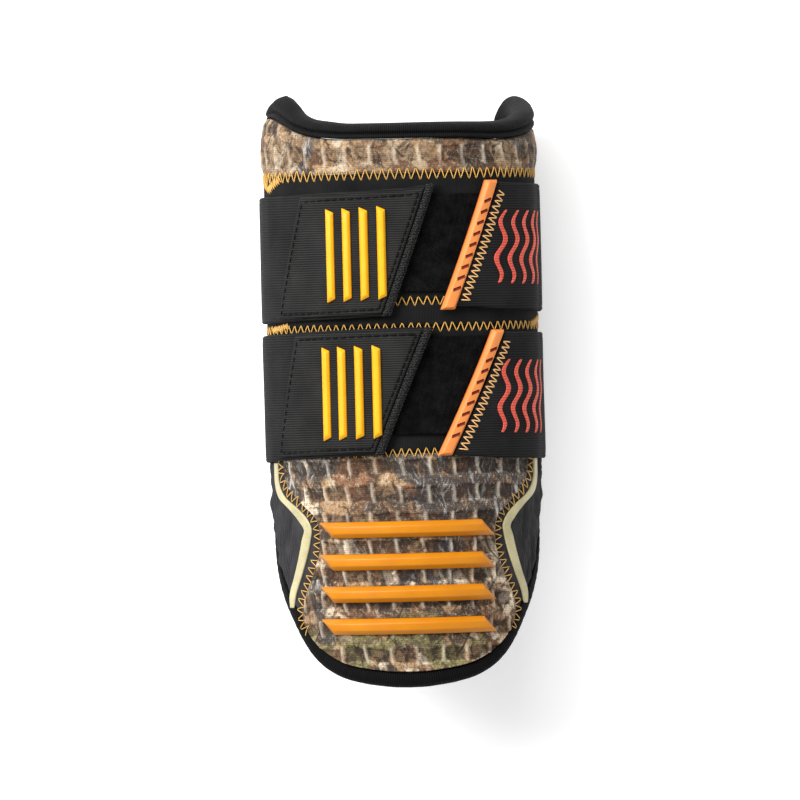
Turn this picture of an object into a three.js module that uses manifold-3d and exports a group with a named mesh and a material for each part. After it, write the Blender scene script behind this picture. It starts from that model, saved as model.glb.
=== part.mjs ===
// A batter's elbow guard: a padded sleeve that wraps most of the way round the arm, closed behind
// by two elastic straps. It lies as it would on a table, on the backs of its straps.
// Millimetres. +Z is up, out of the guard's face; +Y runs from the tongue to the sleeve's mouth.
//
// Every piece is cut as a flat pattern of (angle, along) points and wrapped on one body surface.
// angle is in degrees round the arm, 0 on the crown and 90 on the right; along is in millimetres
// from the seam between the shell and the black windows; lift is the height above the foam.
import * as THREE from "three";
import { mergeVertices } from "three/addons/utils/BufferGeometryUtils.js";
import Module from "manifold-3d";

const wasm = await Module();
wasm.setup();

// Driving dimensions of the sleeve
const padHalfWidth = 54.3; // widest line of the foam, from the centre
const crownRise = 43; // foam crown above the widest line
const backDrop = 44.5; // back of the wrap below the widest line
const backBoxWidth = 0.35; // how far the back corners are filled out sideways
const backBoxDepth = 0.2; // and downwards
const padRearAngle = 140; // where the foam's rear edges stop
const shellLength = 94.5; // seam line to the foam's edge at the tongue
const coverBandHeight = 14.7; // camouflage band under the mouth
const flexWidth = 10.8; // black strip between the windows
const mouthRoll = 6.6; // height of the rolled rim at the front
const earRise = 19.2; // top of the taller ear above the rim's foot

// Thicknesses and clearances
const foamMiddle = 5.5;
const foamEdge = 3.2;
const foamFade = 14; // distance over which the foam thins to its edge
const coverThickness = 1.2;
const coverEdge = 0.8; // the cover thins to this at its seams
const shellBulge = 2; // the stiff shell lifts its cover by this
const filmThickness = 0.4;
const loopThickness = 1.2;
const bandThickness = 1.8;
const panelThickness = 1.2;
const tapeThickness = 1.6;
const bindingWall = 1.1;
const bindingReach = 1.8; // how far the binding stands beyond the foam's edge
const bindingCover = 4.2; // how far its arms reach back over the foam
const bindingGap = 0.5; // between its arm and the covers
const rimOut = 2.6; // rolled rim outside the foam's face
const rimIn = 6.8; // and inside it
const clearance = 0.3; // between layers
const seamGap = 0.4; // between pieces side by side

// Straps
const strapWidth = 52;
const strapSpacing = 6.5;
const strapLap = 2; // the lower strap covers this much of the shell's head
const strapLean = 3; // how far the straps wander along the sleeve
const flexClear = 1.5; // flex strip above the lower strap
const windowMargin = 6; // upper window beyond the upper strap
const backFlat = 2; // how far the resting straps are pressed flat
const panelInset = 1.2; // anchor panel inside the band's edges
const tapeWidth = 3.4;
const loopHeight = 40;
const loopRise = 3.5; // loop patch above the strap's middle
const loopFrom = -20;
const loopTo = 58;
const loopRamp = 14; // degrees over which the band comes down past the patch
const tabWidth = 5.9;
const tabHeight = 3.2;
const tabOverhang = 0.5;
const notchCount = 9;
const notchLength = 2.6;
const notchWidth = 1.5;
const notchDepth = 0.9;

// Raised rubber ribs
const strapRibCount = 4;
const strapRibWidth = 3.2;
const strapRibPitch = 6.6;
const strapRibLength = 37;
const strapRibHeight = 1.6;
const shellRibCount = 4;
const shellRibWidth = 6.6;
const shellRibPitch = 13.2;
const shellRibLength = 64;
const shellRibHeight = 3;
const shellRibHead = 31; // first rib's middle below the seam line
const ribSlant = 0.5; // the share of a rib's width that its ends lean by

const lowerStrapAt = strapWidth / 2 - strapLap;
const upperStrapAt = lowerStrapAt + strapWidth + strapSpacing;
const flexFoot = lowerStrapAt + strapWidth / 2 + flexClear;
const flexHead = flexFoot + flexWidth;
const windowHead = upperStrapAt + strapWidth / 2 + windowMargin;
const mouthFoot = windowHead + coverBandHeight;
const sleeveLength = shellLength + mouthFoot + earRise;

// Lifts of the layers above the foam
const coverFoot = clearance;
const coverTop = coverFoot + coverThickness;
const loopFoot = coverTop + clearance;
const loopTop = loopFoot + loopThickness;
const bandLow = coverTop + clearance; // where the band lies on the cover
const bandHigh = loopTop + clearance; // where it lies on the loop patch
const waistHeight = backDrop + bandLow + bandThickness - backFlat;

// Width and crown of the body, at shares of the sleeve's length from the tongue's tip
const bodyRows = [
  { along: 0.0, width: 0.955, crown: 0.86 },
  { along: 0.12, width: 0.963, crown: 0.93 },
  { along: 0.25, width: 0.975, crown: 0.98 },
  { along: 0.36, width: 0.997, crown: 0.998 },
  { along: 0.5, width: 1.0, crown: 1.003 },
  { along: 0.85, width: 1.003, crown: 1.01 },
  { along: 0.93, width: 0.998, crown: 1.015 },
  { along: 1.0, width: 0.965, crown: 1.02 },
];

// The tongue's outline: rise of the foam's edge above the tip, as a share of the shell's length
const tongueRows = [
  { angle: 0, rise: 0 },
  { angle: 9.4, rise: 0.004 },
  { angle: 27.8, rise: 0.033 },
  { angle: 39.5, rise: 0.078 },
  { angle: 48.6, rise: 0.139 },
  { angle: 55.4, rise: 0.204 },
  { angle: 63.4, rise: 0.291 },
  { angle: 72.2, rise: 0.378 },
  { angle: 81.3, rise: 0.472 },
  { angle: 90, rise: 0.575 },
  { angle: 105, rise: 0.762 },
  { angle: 118, rise: 0.95 },
  { angle: 130, rise: 1.14 },
  { angle: 137, rise: 1.27 },
  { angle: 140, rise: 1.4 },
];

// Half the shell cover's width, at shares of the shell's length below the seam line
const shellRows = [
  { below: 0, angle: 66 },
  { below: 0.06, angle: 67 },
  { below: 0.105, angle: 65.5 },
  { below: 0.153, angle: 61 },
  { below: 0.217, angle: 51 },
  { below: 0.27, angle: 43.8 },
  { below: 0.333, angle: 41.5 },
  { below: 0.43, angle: 42.5 },
  { below: 0.534, angle: 47.5 },
  { below: 0.64, angle: 54 },
  { below: 0.71, angle: 57 },
  { below: 0.775, angle: 54.5 },
];

// The pale stripe on each side panel: its two edges, at shares of the shell's length
const stripeRows = [
  { below: 0.05, inner: 71, outer: 76 },
  { below: 0.125, inner: 70.5, outer: 76 },
  { below: 0.18, inner: 65, outer: 72.5 },
  { below: 0.23, inner: 55, outer: 62.5 },
  { below: 0.28, inner: 48.6, outer: 55.4 },
  { below: 0.335, inner: 46.8, outer: 52.8 },
  { below: 0.42, inner: 49, outer: 55 },
  { below: 0.53, inner: 54.6, outer: 60.4 },
  { below: 0.61, inner: 59.6, outer: 65.4 },
  { below: 0.66, inner: 61.4, outer: 65.2 },
  { below: 0.71, inner: 61.6, outer: 62.6 },
];

// The rolled rim at the mouth: its foot and top above the mouth's foot, as shares of the ears' rise
const rimRows = [
  { angle: -140, foot: 0.02, top: 0.4 },
  { angle: -130, foot: 0.3, top: 0.6 },
  { angle: -116, foot: 0.4, top: 0.72 },
  { angle: -92, foot: 0.46, top: 0.76 },
  { angle: -80, foot: 0.52, top: 0.88 },
  { angle: -70, foot: 0.46, top: 1.0 },
  { angle: -60, foot: 0.34, top: 0.93 },
  { angle: -51, foot: 0.2, top: 0.68 },
  { angle: -42, foot: 0.09, top: 0.5 },
  { angle: -34, foot: 0.03, top: 0.41 },
  { angle: -22, foot: 0, top: 0.345 },
  { angle: 25, foot: -0.02, top: 0.34 },
  { angle: 48, foot: -0.05, top: 0.345 },
  { angle: 62, foot: 0, top: 0.42 },
  { angle: 76, foot: 0.1, top: 0.56 },
  { angle: 92, foot: 0.22, top: 0.7 },
  { angle: 108, foot: 0.34, top: 0.86 },
  { angle: 120, foot: 0.38, top: 0.92 },
  { angle: 131, foot: 0.28, top: 0.72 },
  { angle: 140, foot: 0.0, top: 0.36 },
];

// How far each strap's middle wanders along the sleeve, as shares of the strap's lean
const leanRows = [
  { angle: -180, upper: -0.37, lower: -0.5 },
  { angle: -90, upper: -0.7, lower: -0.23 },
  { angle: 0, upper: 0.03, lower: 0.5 },
  { angle: 22, upper: 1, lower: 0.2 },
  { angle: 45, upper: 0.65, lower: -0.3 },
  { angle: 90, upper: 0.33, lower: -0.5 },
  { angle: 180, upper: -0.37, lower: -0.5 },
];

// The slanted ends at the front: angle at the strap's head and foot
const strapEnds = {
  upper: {
    name: "upper",
    middle: upperStrapAt,
    anchor: { head: 14.5, foot: -4.5 },
    tab: { head: 44, foot: 22.4 },
    seam: { head: -44, foot: -60.6 },
    ribs: -18.1,
  },
  lower: {
    name: "lower",
    middle: lowerStrapAt,
    anchor: { head: 12.4, foot: -8.8 },
    tab: { head: 46, foot: 19.8 },
    seam: { head: -48.8, foot: -63.4 },
    ribs: -21.4,
  },
};

// Curves and the body surface

const radians = THREE.MathUtils.degToRad;
const lerp = THREE.MathUtils.lerp;
const clamp = THREE.MathUtils.clamp;
const smooth = (t) => THREE.MathUtils.smoothstep(t, 0, 1);

// A smooth curve through a table's rows: a cubic in each interval, with the slopes of its neighbours.
function through(rows, key, column) {
  const slope = (i) => {
    const a = rows[Math.max(i - 1, 0)];
    const b = rows[Math.min(i + 1, rows.length - 1)];
    return (b[column] - a[column]) / (b[key] - a[key]);
  };
  return (at) => {
    const x = clamp(at, rows[0][key], rows[rows.length - 1][key]);
    let i = 0;
    while (i < rows.length - 2 && x > rows[i + 1][key]) i += 1;
    const span = rows[i + 1][key] - rows[i][key];
    const t = (x - rows[i][key]) / span;
    const t2 = t * t;
    const t3 = t2 * t;
    return (
      (2 * t3 - 3 * t2 + 1) * rows[i][column] +
      (t3 - 2 * t2 + t) * span * slope(i) +
      (3 * t2 - 2 * t3) * rows[i + 1][column] +
      (t3 - t2) * span * slope(i + 1)
    );
  };
}

const widthShare = through(bodyRows, "along", "width");
const crownShare = through(bodyRows, "along", "crown");
const tongueRise = through(tongueRows, "angle", "rise");
const shellAngle = through(shellRows, "below", "angle");
const rimFootShare = through(rimRows, "angle", "foot");
const rimTopShare = through(rimRows, "angle", "top");

const foamFoot = (angle) => shellLength * (tongueRise(Math.abs(angle)) - 1);
const rimFoot = (angle) => mouthFoot + earRise * rimFootShare(angle);
const rimTop = (angle) => mouthFoot + earRise * rimTopShare(angle);

function bodyPoint(angle, along) {
  const share = (along + shellLength) / sleeveLength;
  const halfWidth = padHalfWidth * widthShare(share);
  const s = Math.sin(radians(angle));
  const c = Math.cos(radians(angle));
  if (c >= 0) {
    return new THREE.Vector3(halfWidth * s, along, waistHeight + crownRise * crownShare(share) * c);
  }
  const x = halfWidth * s * (1 + backBoxWidth * c * c);
  const z = waistHeight + backDrop * c * (1 + backBoxDepth * s * s);
  return new THREE.Vector3(x, along, z);
}

const probe = 0.05;

function bodyNormal(angle, along) {
  const across = bodyPoint(angle + probe, along).sub(bodyPoint(angle - probe, along));
  const up = bodyPoint(angle, along + probe).sub(bodyPoint(angle, along - probe));
  return across.cross(up).normalize();
}

// Millimetres of surface in one degree round the arm
function perDegree(angle, along) {
  return bodyPoint(angle + probe, along).distanceTo(bodyPoint(angle - probe, along)) / (2 * probe);
}

function place(angle, along, lift) {
  return bodyPoint(angle, along).addScaledVector(bodyNormal(angle, along), lift);
}

// Solids

function solid(name, points, triangles, material) {
  const geometry = new THREE.BufferGeometry();
  geometry.setAttribute(
    "position",
    new THREE.Float32BufferAttribute(points.flatMap((p) => [p.x, p.y, p.z]), 3),
  );
  geometry.setIndex(triangles);
  geometry.computeVertexNormals();
  const mesh = new THREE.Mesh(geometry, material);
  mesh.name = name;
  return mesh;
}

// A four-sided face is split along its shorter diagonal, which keeps closest to a curved surface.
function split(points, [a, b, c, d]) {
  const first = points[a].distanceTo(points[c]);
  const second = points[b].distanceTo(points[d]);
  return first <= second ? [a, b, c, a, c, d] : [a, b, d, b, c, d];
}

// A closed wall on a grid of (angle, along) rows. lifts gives the inner and outer lift of a point.
function wall(name, rows, lifts, material, floor = null) {
  const high = rows.length;
  const wide = rows[0].length;
  const points = [];
  const layer = (outer) => {
    rows.forEach((row, j) => {
      row.forEach((p, i) => {
        const border = i === 0 || j === 0 || i === wide - 1 || j === high - 1;
        const lift = lifts(p, border)[outer];
        const point = place(p.angle, p.along, lift);
        if (floor) point.z = Math.max(point.z, floor[outer]);
        points.push(point);
      });
    });
  };
  layer(0);
  layer(1);
  const inner = (j, i) => j * wide + i;
  const outer = (j, i) => (high + j) * wide + i;
  const triangles = [];
  const quad = (...corners) => triangles.push(...split(points, corners));
  for (let j = 0; j < high - 1; j += 1) {
    for (let i = 0; i < wide - 1; i += 1) {
      quad(outer(j, i), outer(j, i + 1), outer(j + 1, i + 1), outer(j + 1, i));
      quad(inner(j, i), inner(j + 1, i), inner(j + 1, i + 1), inner(j, i + 1));
    }
  }
  for (let i = 0; i < wide - 1; i += 1) {
    quad(inner(0, i), inner(0, i + 1), outer(0, i + 1), outer(0, i));
    quad(outer(high - 1, i), outer(high - 1, i + 1), inner(high - 1, i + 1), inner(high - 1, i));
  }
  for (let j = 0; j < high - 1; j += 1) {
    quad(outer(j, 0), outer(j + 1, 0), inner(j + 1, 0), inner(j, 0));
    quad(inner(j, wide - 1), inner(j + 1, wide - 1), outer(j + 1, wide - 1), outer(j, wide - 1));
  }
  return solid(name, points, triangles, material);
}

// A closed sweep through rings of points, all with the same count, with flat ends.
function sweep(name, rings, section, material) {
  const count = section.length;
  const points = rings.flat();
  const triangles = [];
  for (let k = 0; k < rings.length - 1; k += 1) {
    for (let i = 0; i < count; i += 1) {
      const a = k * count + i;
      const b = k * count + ((i + 1) % count);
      triangles.push(...split(points, [a, b, b + count, a + count]));
    }
  }
  const ends = THREE.ShapeUtils.triangulateShape(section, []);
  const last = (rings.length - 1) * count;
  for (const [a, b, c] of ends) {
    triangles.push(a, c, b, last + a, last + b, last + c);
  }
  return solid(name, points, triangles, material);
}

// Even steps from one number to another
const steps = (from, to, count) => {
  const whole = Math.round(count);
  return Array.from({ length: whole + 1 }, (_, i) => lerp(from, to, i / whole));
};

// A flat pattern between four borders, each a list of points that meet at the corners.
function pattern(foot, head, left, right) {
  return left.map((l, j) => {
    const v = j / (left.length - 1);
    return foot.map((f, i) => {
      const u = i / (foot.length - 1);
      const mix = (key) =>
        lerp(f[key], head[i][key], v) +
        lerp(l[key], right[j][key], u) -
        lerp(lerp(foot[0][key], foot.at(-1)[key], u), lerp(head[0][key], head.at(-1)[key], u), v);
      return { angle: mix("angle"), along: mix("along") };
    });
  });
}

// The same pattern with its outline drawn in, to leave a gap beside its neighbours.
function trimmed(rows, trim) {
  const high = rows.length;
  const wide = rows[0].length;
  return rows.map((row, j) =>
    row.map((p, i) => {
      const scale = perDegree(p.angle, p.along);
      const west = rows[j][Math.max(i - 1, 0)];
      const east = rows[j][Math.min(i + 1, wide - 1)];
      const south = rows[Math.max(j - 1, 0)][i];
      const north = rows[Math.min(j + 1, high - 1)][i];
      const across = new THREE.Vector2((east.angle - west.angle) * scale, east.along - west.along).normalize();
      const up = new THREE.Vector2((north.angle - south.angle) * scale, north.along - south.along).normalize();
      const sine = Math.max(Math.abs(across.cross(up)), 0.35);
      const sideways = (i === 0 ? 1 : 0) - (i === wide - 1 ? 1 : 0);
      const upwards = (j === 0 ? 1 : 0) - (j === high - 1 ? 1 : 0);
      const x = (across.x * sideways + up.x * upwards) * (trim / sine);
      const y = (across.y * sideways + up.y * upwards) * (trim / sine);
      return { angle: p.angle + x / scale, along: p.along + y };
    }),
  );
}

// A border that keeps one height, between two angles
const level = (along, from, to, count) => steps(from, to, count).map((angle) => ({ angle, along }));

// How steeply the foam's lower outline climbs, millimetre for millimetre
function footSlope(angle) {
  const scale = perDegree(angle, foamFoot(angle));
  return (foamFoot(angle + probe) - foamFoot(angle - probe)) / (2 * probe * scale);
}

// The foam's outline moved in by a distance, at one angle
function insetFoot(angle, inset) {
  const scale = perDegree(angle, foamFoot(angle));
  const slope = footSlope(angle);
  const length = Math.hypot(1, slope);
  return {
    angle: angle - (inset * slope) / length / scale,
    along: foamFoot(angle) + inset / length,
  };
}

// Materials

const fabric = (color, roughness = 0.85) => new THREE.MeshStandardMaterial({ color, roughness, metalness: 0 });
const camouflage = fabric(0x8a7355);
const blackKnit = fabric(0x1b1b1d);
const foamLining = fabric(0x232326);
const sideKnit = fabric(0x2b2a2d);
const paleFilm = fabric(0xcfc9a2, 0.55);
const loopPile = fabric(0x0c0c0d, 1);
const elastic = fabric(0x1f1f21);
const greyTape = fabric(0x303033);
const rimKnit = fabric(0x222224);
const orangeRubber = fabric(0xf2970c, 0.45);
const tabRubber = fabric(0xf0953f, 0.5);

// The pad

// Columns of the foam, shared with the rim and the binding so that their edges run parallel.
const halfColumns = [0, 8, 16, 24, 32, 40, 48, 56, 64, 72, 80, 88, 96, 104, 112, 119, 125, 130, 134.5, 138];
const columns = [
  ...halfColumns.slice(1).reverse().map((share) => -share),
  ...halfColumns,
].map((angle) => (angle / 140) * padRearAngle);
const outline = [-padRearAngle, ...columns, padRearAngle];

function foamPad() {
  const stations = [0, 0.03, 0.08, 0.17, 0.27, 0.38, 0.52, 0.66, 0.8, 0.92, 0.97, 1];
  const rows = stations.map((v) =>
    outline.map((angle) => ({ angle, along: lerp(foamFoot(angle), rimFoot(angle), v) })),
  );
  const lifts = (p) => {
    const side = (padRearAngle - Math.abs(p.angle)) * perDegree(p.angle, p.along);
    const fromFoot = (p.along - foamFoot(p.angle)) / Math.hypot(1, footSlope(p.angle));
    const inside = Math.min(side, fromFoot, rimFoot(p.angle) - p.along);
    return [-lerp(foamEdge, foamMiddle, smooth(inside / foamFade)), 0];
  };
  return wall("foam_pad", rows, lifts, foamLining);
}

// The rolled rim: a lip over the cover, a stitched groove, then the roll over the top and inside.
// s is the share of the rim's height, and lift is outside the foam's face.
function mouthRim() {
  const profile = [
    { s: 0, lift: -rimIn + 0.6 },
    { s: 0, lift: rimOut - 1 },
    { s: 0.13, lift: rimOut - 0.5 },
    { s: 0.27, lift: rimOut - 0.5 },
    { s: 0.34, lift: rimOut - 1.1 },
    { s: 0.46, lift: rimOut },
    { s: 0.72, lift: rimOut },
    { s: 0.91, lift: rimOut - 1.4 },
    { s: 1, lift: (rimOut - rimIn) / 2 },
    { s: 0.9, lift: -rimIn + 1.6 },
    { s: 0.66, lift: -rimIn },
    { s: 0.3, lift: -rimIn },
  ];
  const section = profile.map((p) => new THREE.Vector2(-p.s * mouthRoll, p.lift));
  const rings = outline.map((angle) => {
    const foot = rimFoot(angle) + clearance;
    return profile.map((p) => place(angle, lerp(foot, rimTop(angle), p.s), p.lift));
  });
  return sweep("mouth_rim", rings.reverse(), section, rimKnit);
}

// A folded tape round the rear edges and the tongue. e is outwards from the foam's edge.
function edgeBinding() {
  const face = coverTop;
  const back = -foamEdge - clearance;
  const armBack = back - 1.25; // the foam is already thicker where the inner arm ends
  const profile = [
    { e: -bindingCover, lift: face },
    { e: -bindingCover, lift: clearance },
    { e: clearance, lift: clearance },
    { e: clearance, lift: back },
    { e: -bindingCover, lift: armBack },
    { e: -bindingCover, lift: armBack - bindingWall },
    { e: 0, lift: back - bindingWall },
    { e: bindingReach, lift: back / 2 - 0.9 },
    { e: bindingReach, lift: back / 2 + 0.9 },
    { e: 0.5, lift: face },
  ];
  const section = profile.map((p) => new THREE.Vector2(p.e, p.lift));
  const side = (angle) => {
    const heights = steps(rimFoot(angle), foamFoot(angle), 5).slice(0, -1);
    return heights.map((along) => ({ angle, along }));
  };
  const path = [
    ...side(-padRearAngle),
    ...outline.map((angle) => ({ angle, along: foamFoot(angle) })),
    ...side(padRearAngle).reverse(),
  ];
  const rings = path.map((p, k) => {
    const scale = perDegree(p.angle, p.along);
    const before = path[Math.max(k - 1, 0)];
    const after = path[Math.min(k + 1, path.length - 1)];
    const arrive = new THREE.Vector2((p.angle - before.angle) * scale, p.along - before.along).normalize();
    const leave = new THREE.Vector2((after.angle - p.angle) * scale, after.along - p.along).normalize();
    const along = arrive.add(leave).normalize();
    return profile.map(({ e, lift }) =>
      place(p.angle + (e * along.y) / scale, p.along - e * along.x, lift),
    );
  });
  return sweep("edge_binding", rings.reverse(), section, rimKnit);
}

// Covers sewn edge to edge over the foam

const coverLifts = (p, border) => [coverFoot, border ? coverFoot + coverEdge : coverTop];

// The stiff shell under its cover
function shellLift(angle, along) {
  const across = Math.max(0, 1 - (angle / 70) ** 2);
  const down = -along / shellLength;
  const middle = 0.54;
  const reach = 0.46;
  const lengthwise = Math.max(0, 1 - ((down - middle) / reach) ** 4);
  return shellBulge * across * lengthwise;
}

// The covers stop beside the binding's arm: at the rear, and along the tongue.
const coverInset = bindingCover + bindingGap;
const rearStop = (along) => padRearAngle - coverInset / perDegree(padRearAngle, along);

// The angle at which the covers' outline along the tongue reaches a height, found by halving
function tongueAngle(along) {
  let low = 60;
  let high = padRearAngle;
  for (let k = 0; k < 24; k += 1) {
    const middle = (low + high) / 2;
    if (insetFoot(middle, coverInset).along < along) low = middle;
    else high = middle;
  }
  return low;
}

// The covers' rear end at a height, on the tongue's outline or on the straight rear edge above it
function rearPoint(along) {
  const tongue = insetFoot(tongueAngle(along), coverInset).angle;
  return { angle: Math.min(tongue, rearStop(along)), along };
}

function levelCover(name, foot, head, wide, high, material) {
  const stop = rearStop(foot(padRearAngle));
  const rows = pattern(
    steps(-stop, stop, wide).map((angle) => ({ angle, along: foot(angle) })),
    steps(-stop, stop, wide).map((angle) => ({ angle, along: head(angle) })),
    steps(0, 1, high).map((v) => ({ angle: -stop, along: lerp(foot(-stop), head(-stop), v) })),
    steps(0, 1, high).map((v) => ({ angle: stop, along: lerp(foot(stop), head(stop), v) })),
  );
  return wall(name, trimmed(rows, seamGap / 2), coverLifts, material);
}

const steady = (along) => () => along;

// The lower window's rear ends follow the tongue's outline, because its foot is below the bend.
function lowerWindow() {
  const wide = 36;
  const high = 4;
  const edge = steps(0, flexFoot, high).map(rearPoint);
  const mirror = (p) => ({ angle: -p.angle, along: p.along });
  const rows = pattern(
    level(0, -edge[0].angle, edge[0].angle, wide),
    level(flexFoot, -edge.at(-1).angle, edge.at(-1).angle, wide),
    edge.map(mirror),
    edge,
  );
  return wall("lower_window", trimmed(rows, seamGap / 2), coverLifts, blackKnit);
}

// The shell's waisted side, from the binding up to the seam line
const shellCorner = insetFoot(shellRows.at(-1).angle, coverInset);

function shellSide(count) {
  const lowest = shellRows.at(-1).below;
  return steps(0, 1, count).map((v) => {
    const below = lerp(lowest, 0, v);
    const blend = smooth(1 - v * 6); // the last stretch runs down to the binding
    return {
      angle: lerp(shellAngle(below), shellCorner.angle, blend),
      along: lerp(-below * shellLength, shellCorner.along, blend),
    };
  });
}

function shellCover() {
  const wide = 16;
  const high = 13;
  const right = shellSide(high);
  const left = right.map((p) => ({ angle: -p.angle, along: p.along }));
  const reach = shellRows.at(-1).angle;
  const foot = steps(-reach, reach, wide).map((angle) => insetFoot(angle, coverInset));
  const top = right.at(-1);
  const rows = pattern(foot, level(top.along, -top.angle, top.angle, wide), left, right);
  const lifts = (p, border) => [
    coverFoot,
    border ? coverFoot + coverEdge : coverTop + shellLift(p.angle, p.along),
  ];
  return wall("shell_cover", trimmed(rows, seamGap / 2), lifts, camouflage);
}

function sidePanel(side) {
  const wide = 6;
  const high = 13;
  const inner = shellSide(high);
  const outer = steps(shellRows.at(-1).angle + 2, tongueAngle(0), high).map((a) => insetFoot(a, coverInset));
  const head = level(0, inner.at(-1).angle, outer.at(-1).angle, wide);
  const foot = steps(0, 1, wide).map((u) => ({
    angle: lerp(inner[0].angle, outer[0].angle, u),
    along: lerp(inner[0].along, outer[0].along, u),
  }));
  const rows = pattern(foot, head, inner, outer);
  const facing = side === "right" ? rows : rows.map((row) => row.map((p) => ({ ...p, angle: -p.angle })).reverse());
  return wall(`${side}_side_panel`, trimmed(facing, seamGap / 2), coverLifts, sideKnit);
}

// A pale film stripe, stopping short of the lower strap's edge
function sideStripe(side) {
  const sign = side === "right" ? 1 : -1;
  const inner = through(stripeRows, "below", "inner");
  const outer = through(stripeRows, "below", "outer");
  const head = strapEdge(strapEnds.lower, sign * stripeRows[0].outer, -1) - 2 * seamGap;
  const foot = stripeRows.at(-1).below;
  const rows = steps(foot, -head / shellLength, 13).map((below) =>
    steps(inner(below), outer(below), 2).map((angle) => ({ angle, along: -below * shellLength })),
  );
  const facing = sign > 0 ? rows : rows.map((row) => row.map((p) => ({ ...p, angle: -p.angle })).reverse());
  const lift = coverTop + clearance;
  return wall(`${side}_side_stripe`, facing, () => [lift, lift + filmThickness], paleFilm);
}

// The straps

const leans = {
  upper: through(leanRows, "angle", "upper"),
  lower: through(leanRows, "angle", "lower"),
};

function strapMiddle(strap, angle) {
  const turned = angle > 180 ? angle - 360 : angle;
  return strap.middle + strapLean * leans[strap.name](turned);
}

// side is 1 at the strap's head and -1 at its foot
const strapEdge = (strap, angle, side) => strapMiddle(strap, angle) + (side * strapWidth) / 2;

// The band rides up over the loop patch at the front and lies on the cover elsewhere.
function bandLift(angle) {
  const turned = angle > 180 ? angle - 360 : angle;
  const outside = Math.max(loopFrom - turned, turned - loopTo, 0);
  const settle = 7; // degrees past the patch before the band starts down
  return lerp(bandHigh, bandLow, smooth((outside - settle) / loopRamp));
}

// A four-sided piece on the strap between two slanted lines; narrow is taken off each long edge.
function strapPiece(name, strap, from, to, narrow, layers, wide, material) {
  const rows = steps(-1, 1, 4).map((side) => {
    const v = 0.5 + side * (0.5 - narrow / strapWidth);
    return steps(lerp(from.foot, from.head, v), lerp(to.foot, to.head, v), wide).map((angle) => ({
      angle,
      along: strapEdge(strap, angle, side) - side * narrow,
    }));
  });
  return wall(name, rows, (p) => layers.map((lift) => bandLift(p.angle) + lift), material);
}

// The band runs the long way round, from the pull tab over the right side and the back to the anchor.
// It is wrapped as a ring, and the slanted window between its two ends is cut out of it.
function strapBand(strap) {
  const rows = steps(-1, 1, 2).map((side) =>
    steps(strap.tab.foot - 2, strap.anchor.head + 362, 60).map((angle) => ({
      angle,
      along: strapEdge(strap, angle, side),
    })),
  );
  const lifts = (p) => [bandLift(p.angle), bandLift(p.angle) + bandThickness];
  const floor = [bandThickness, 0];
  const ring = wall(`${strap.name}_strap_band`, rows, lifts, elastic, floor);
  const window = strapPiece("window", strap, strap.anchor, strap.tab, -2, [-1, bandThickness + 1], 6, elastic);
  return carved(ring, [window]);
}

const degreesOf = (millimetres) => millimetres / perDegree(0, 0);
const shifted = (ends, by) => ({ head: ends.head + by, foot: ends.foot + by });

function strapPanel(strap) {
  const to = shifted(strap.anchor, -degreesOf(tapeWidth + seamGap));
  const foot = bandThickness + clearance;
  const layers = [foot, foot + panelThickness];
  return strapPiece(`${strap.name}_strap_panel`, strap, strap.seam, to, panelInset, layers, 14, elastic);
}

function strapTape(strap) {
  const from = shifted(strap.anchor, -degreesOf(tapeWidth));
  const foot = bandThickness + clearance;
  const layers = [foot, foot + tapeThickness];
  return strapPiece(`${strap.name}_strap_tape`, strap, from, strap.anchor, 0, layers, 2, greyTape);
}

function loopPatch(strap) {
  const middle = strap.middle + loopRise;
  const rows = [
    level(middle - loopHeight / 2, loopFrom, loopTo, 12),
    level(middle, loopFrom, loopTo, 12),
    level(middle + loopHeight / 2, loopFrom, loopTo, 12),
  ];
  return wall(`${strap.name}_loop_patch`, rows, () => [loopFoot, loopTop], loopPile);
}

// A bar on the surface: points along it, each with its half width across and its lift at the foot.
function bar(name, stations, height, bevel, material) {
  const profile = [
    { side: -1, rise: 0 },
    { side: 1, rise: 0 },
    { side: 1, rise: 0.45 },
    { side: bevel.right, rise: 1 },
    { side: bevel.left, rise: 1 },
    { side: -1, rise: 0.45 },
  ];
  const section = profile.map((p) => new THREE.Vector2(p.side, p.rise));
  const rings = stations.map((s) =>
    profile.map((p) => place(s.angle(p.side), s.along(p.side), s.lift + p.rise * height)),
  );
  return sweep(name, rings, section, material);
}

// The moulded pull tab closes the band's slanted end. Its long edges slant with the band.
function pullTab(strap) {
  const slope = strap.tab.head - strap.tab.foot;
  const halfWide = degreesOf(tabWidth / 2);
  const gap = degreesOf(seamGap);
  const at = (v) => lerp(strap.tab.foot, strap.tab.head, v) - halfWide - gap;
  const low = strapEdge(strap, at(0), -1) - tabOverhang;
  const high = strapEdge(strap, at(1), 1) + tabOverhang;
  const station = (v) => {
    const centre = strap.tab.foot + slope * v - halfWide - gap;
    return {
      angle: (side) => centre + side * halfWide,
      along: () => lerp(low, high, v),
      lift: bandHigh,
    };
  };
  const tab = bar(
    `${strap.name}_pull_tab`,
    steps(0, 1, 6).map(station).reverse(),
    tabHeight,
    { left: -0.25, right: 0.8 },
    tabRubber,
  );
  // Finger notches cut down from the top face, lying along the tab
  const cutters = steps(0.16, 0.84, notchCount - 1).map((v) => {
    const half = notchLength / 2 / (high - low);
    const cut = [v + half, v - half].map((w) => {
      const centre = station(w).angle(0.3);
      const across = degreesOf(notchWidth / 2);
      return [-1, 1, 1, -1].map((side, k) =>
        place(centre + side * across, lerp(low, high, w), bandHigh + tabHeight + (k < 2 ? -notchDepth : 1)),
      );
    });
    const section = [[-1, 0], [1, 0], [1, 1], [-1, 1]].map(([x, y]) => new THREE.Vector2(x, y));
    return sweep("notch", cut, section, tabRubber);
  });
  return carved(tab, cutters);
}

// Booleans

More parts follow.
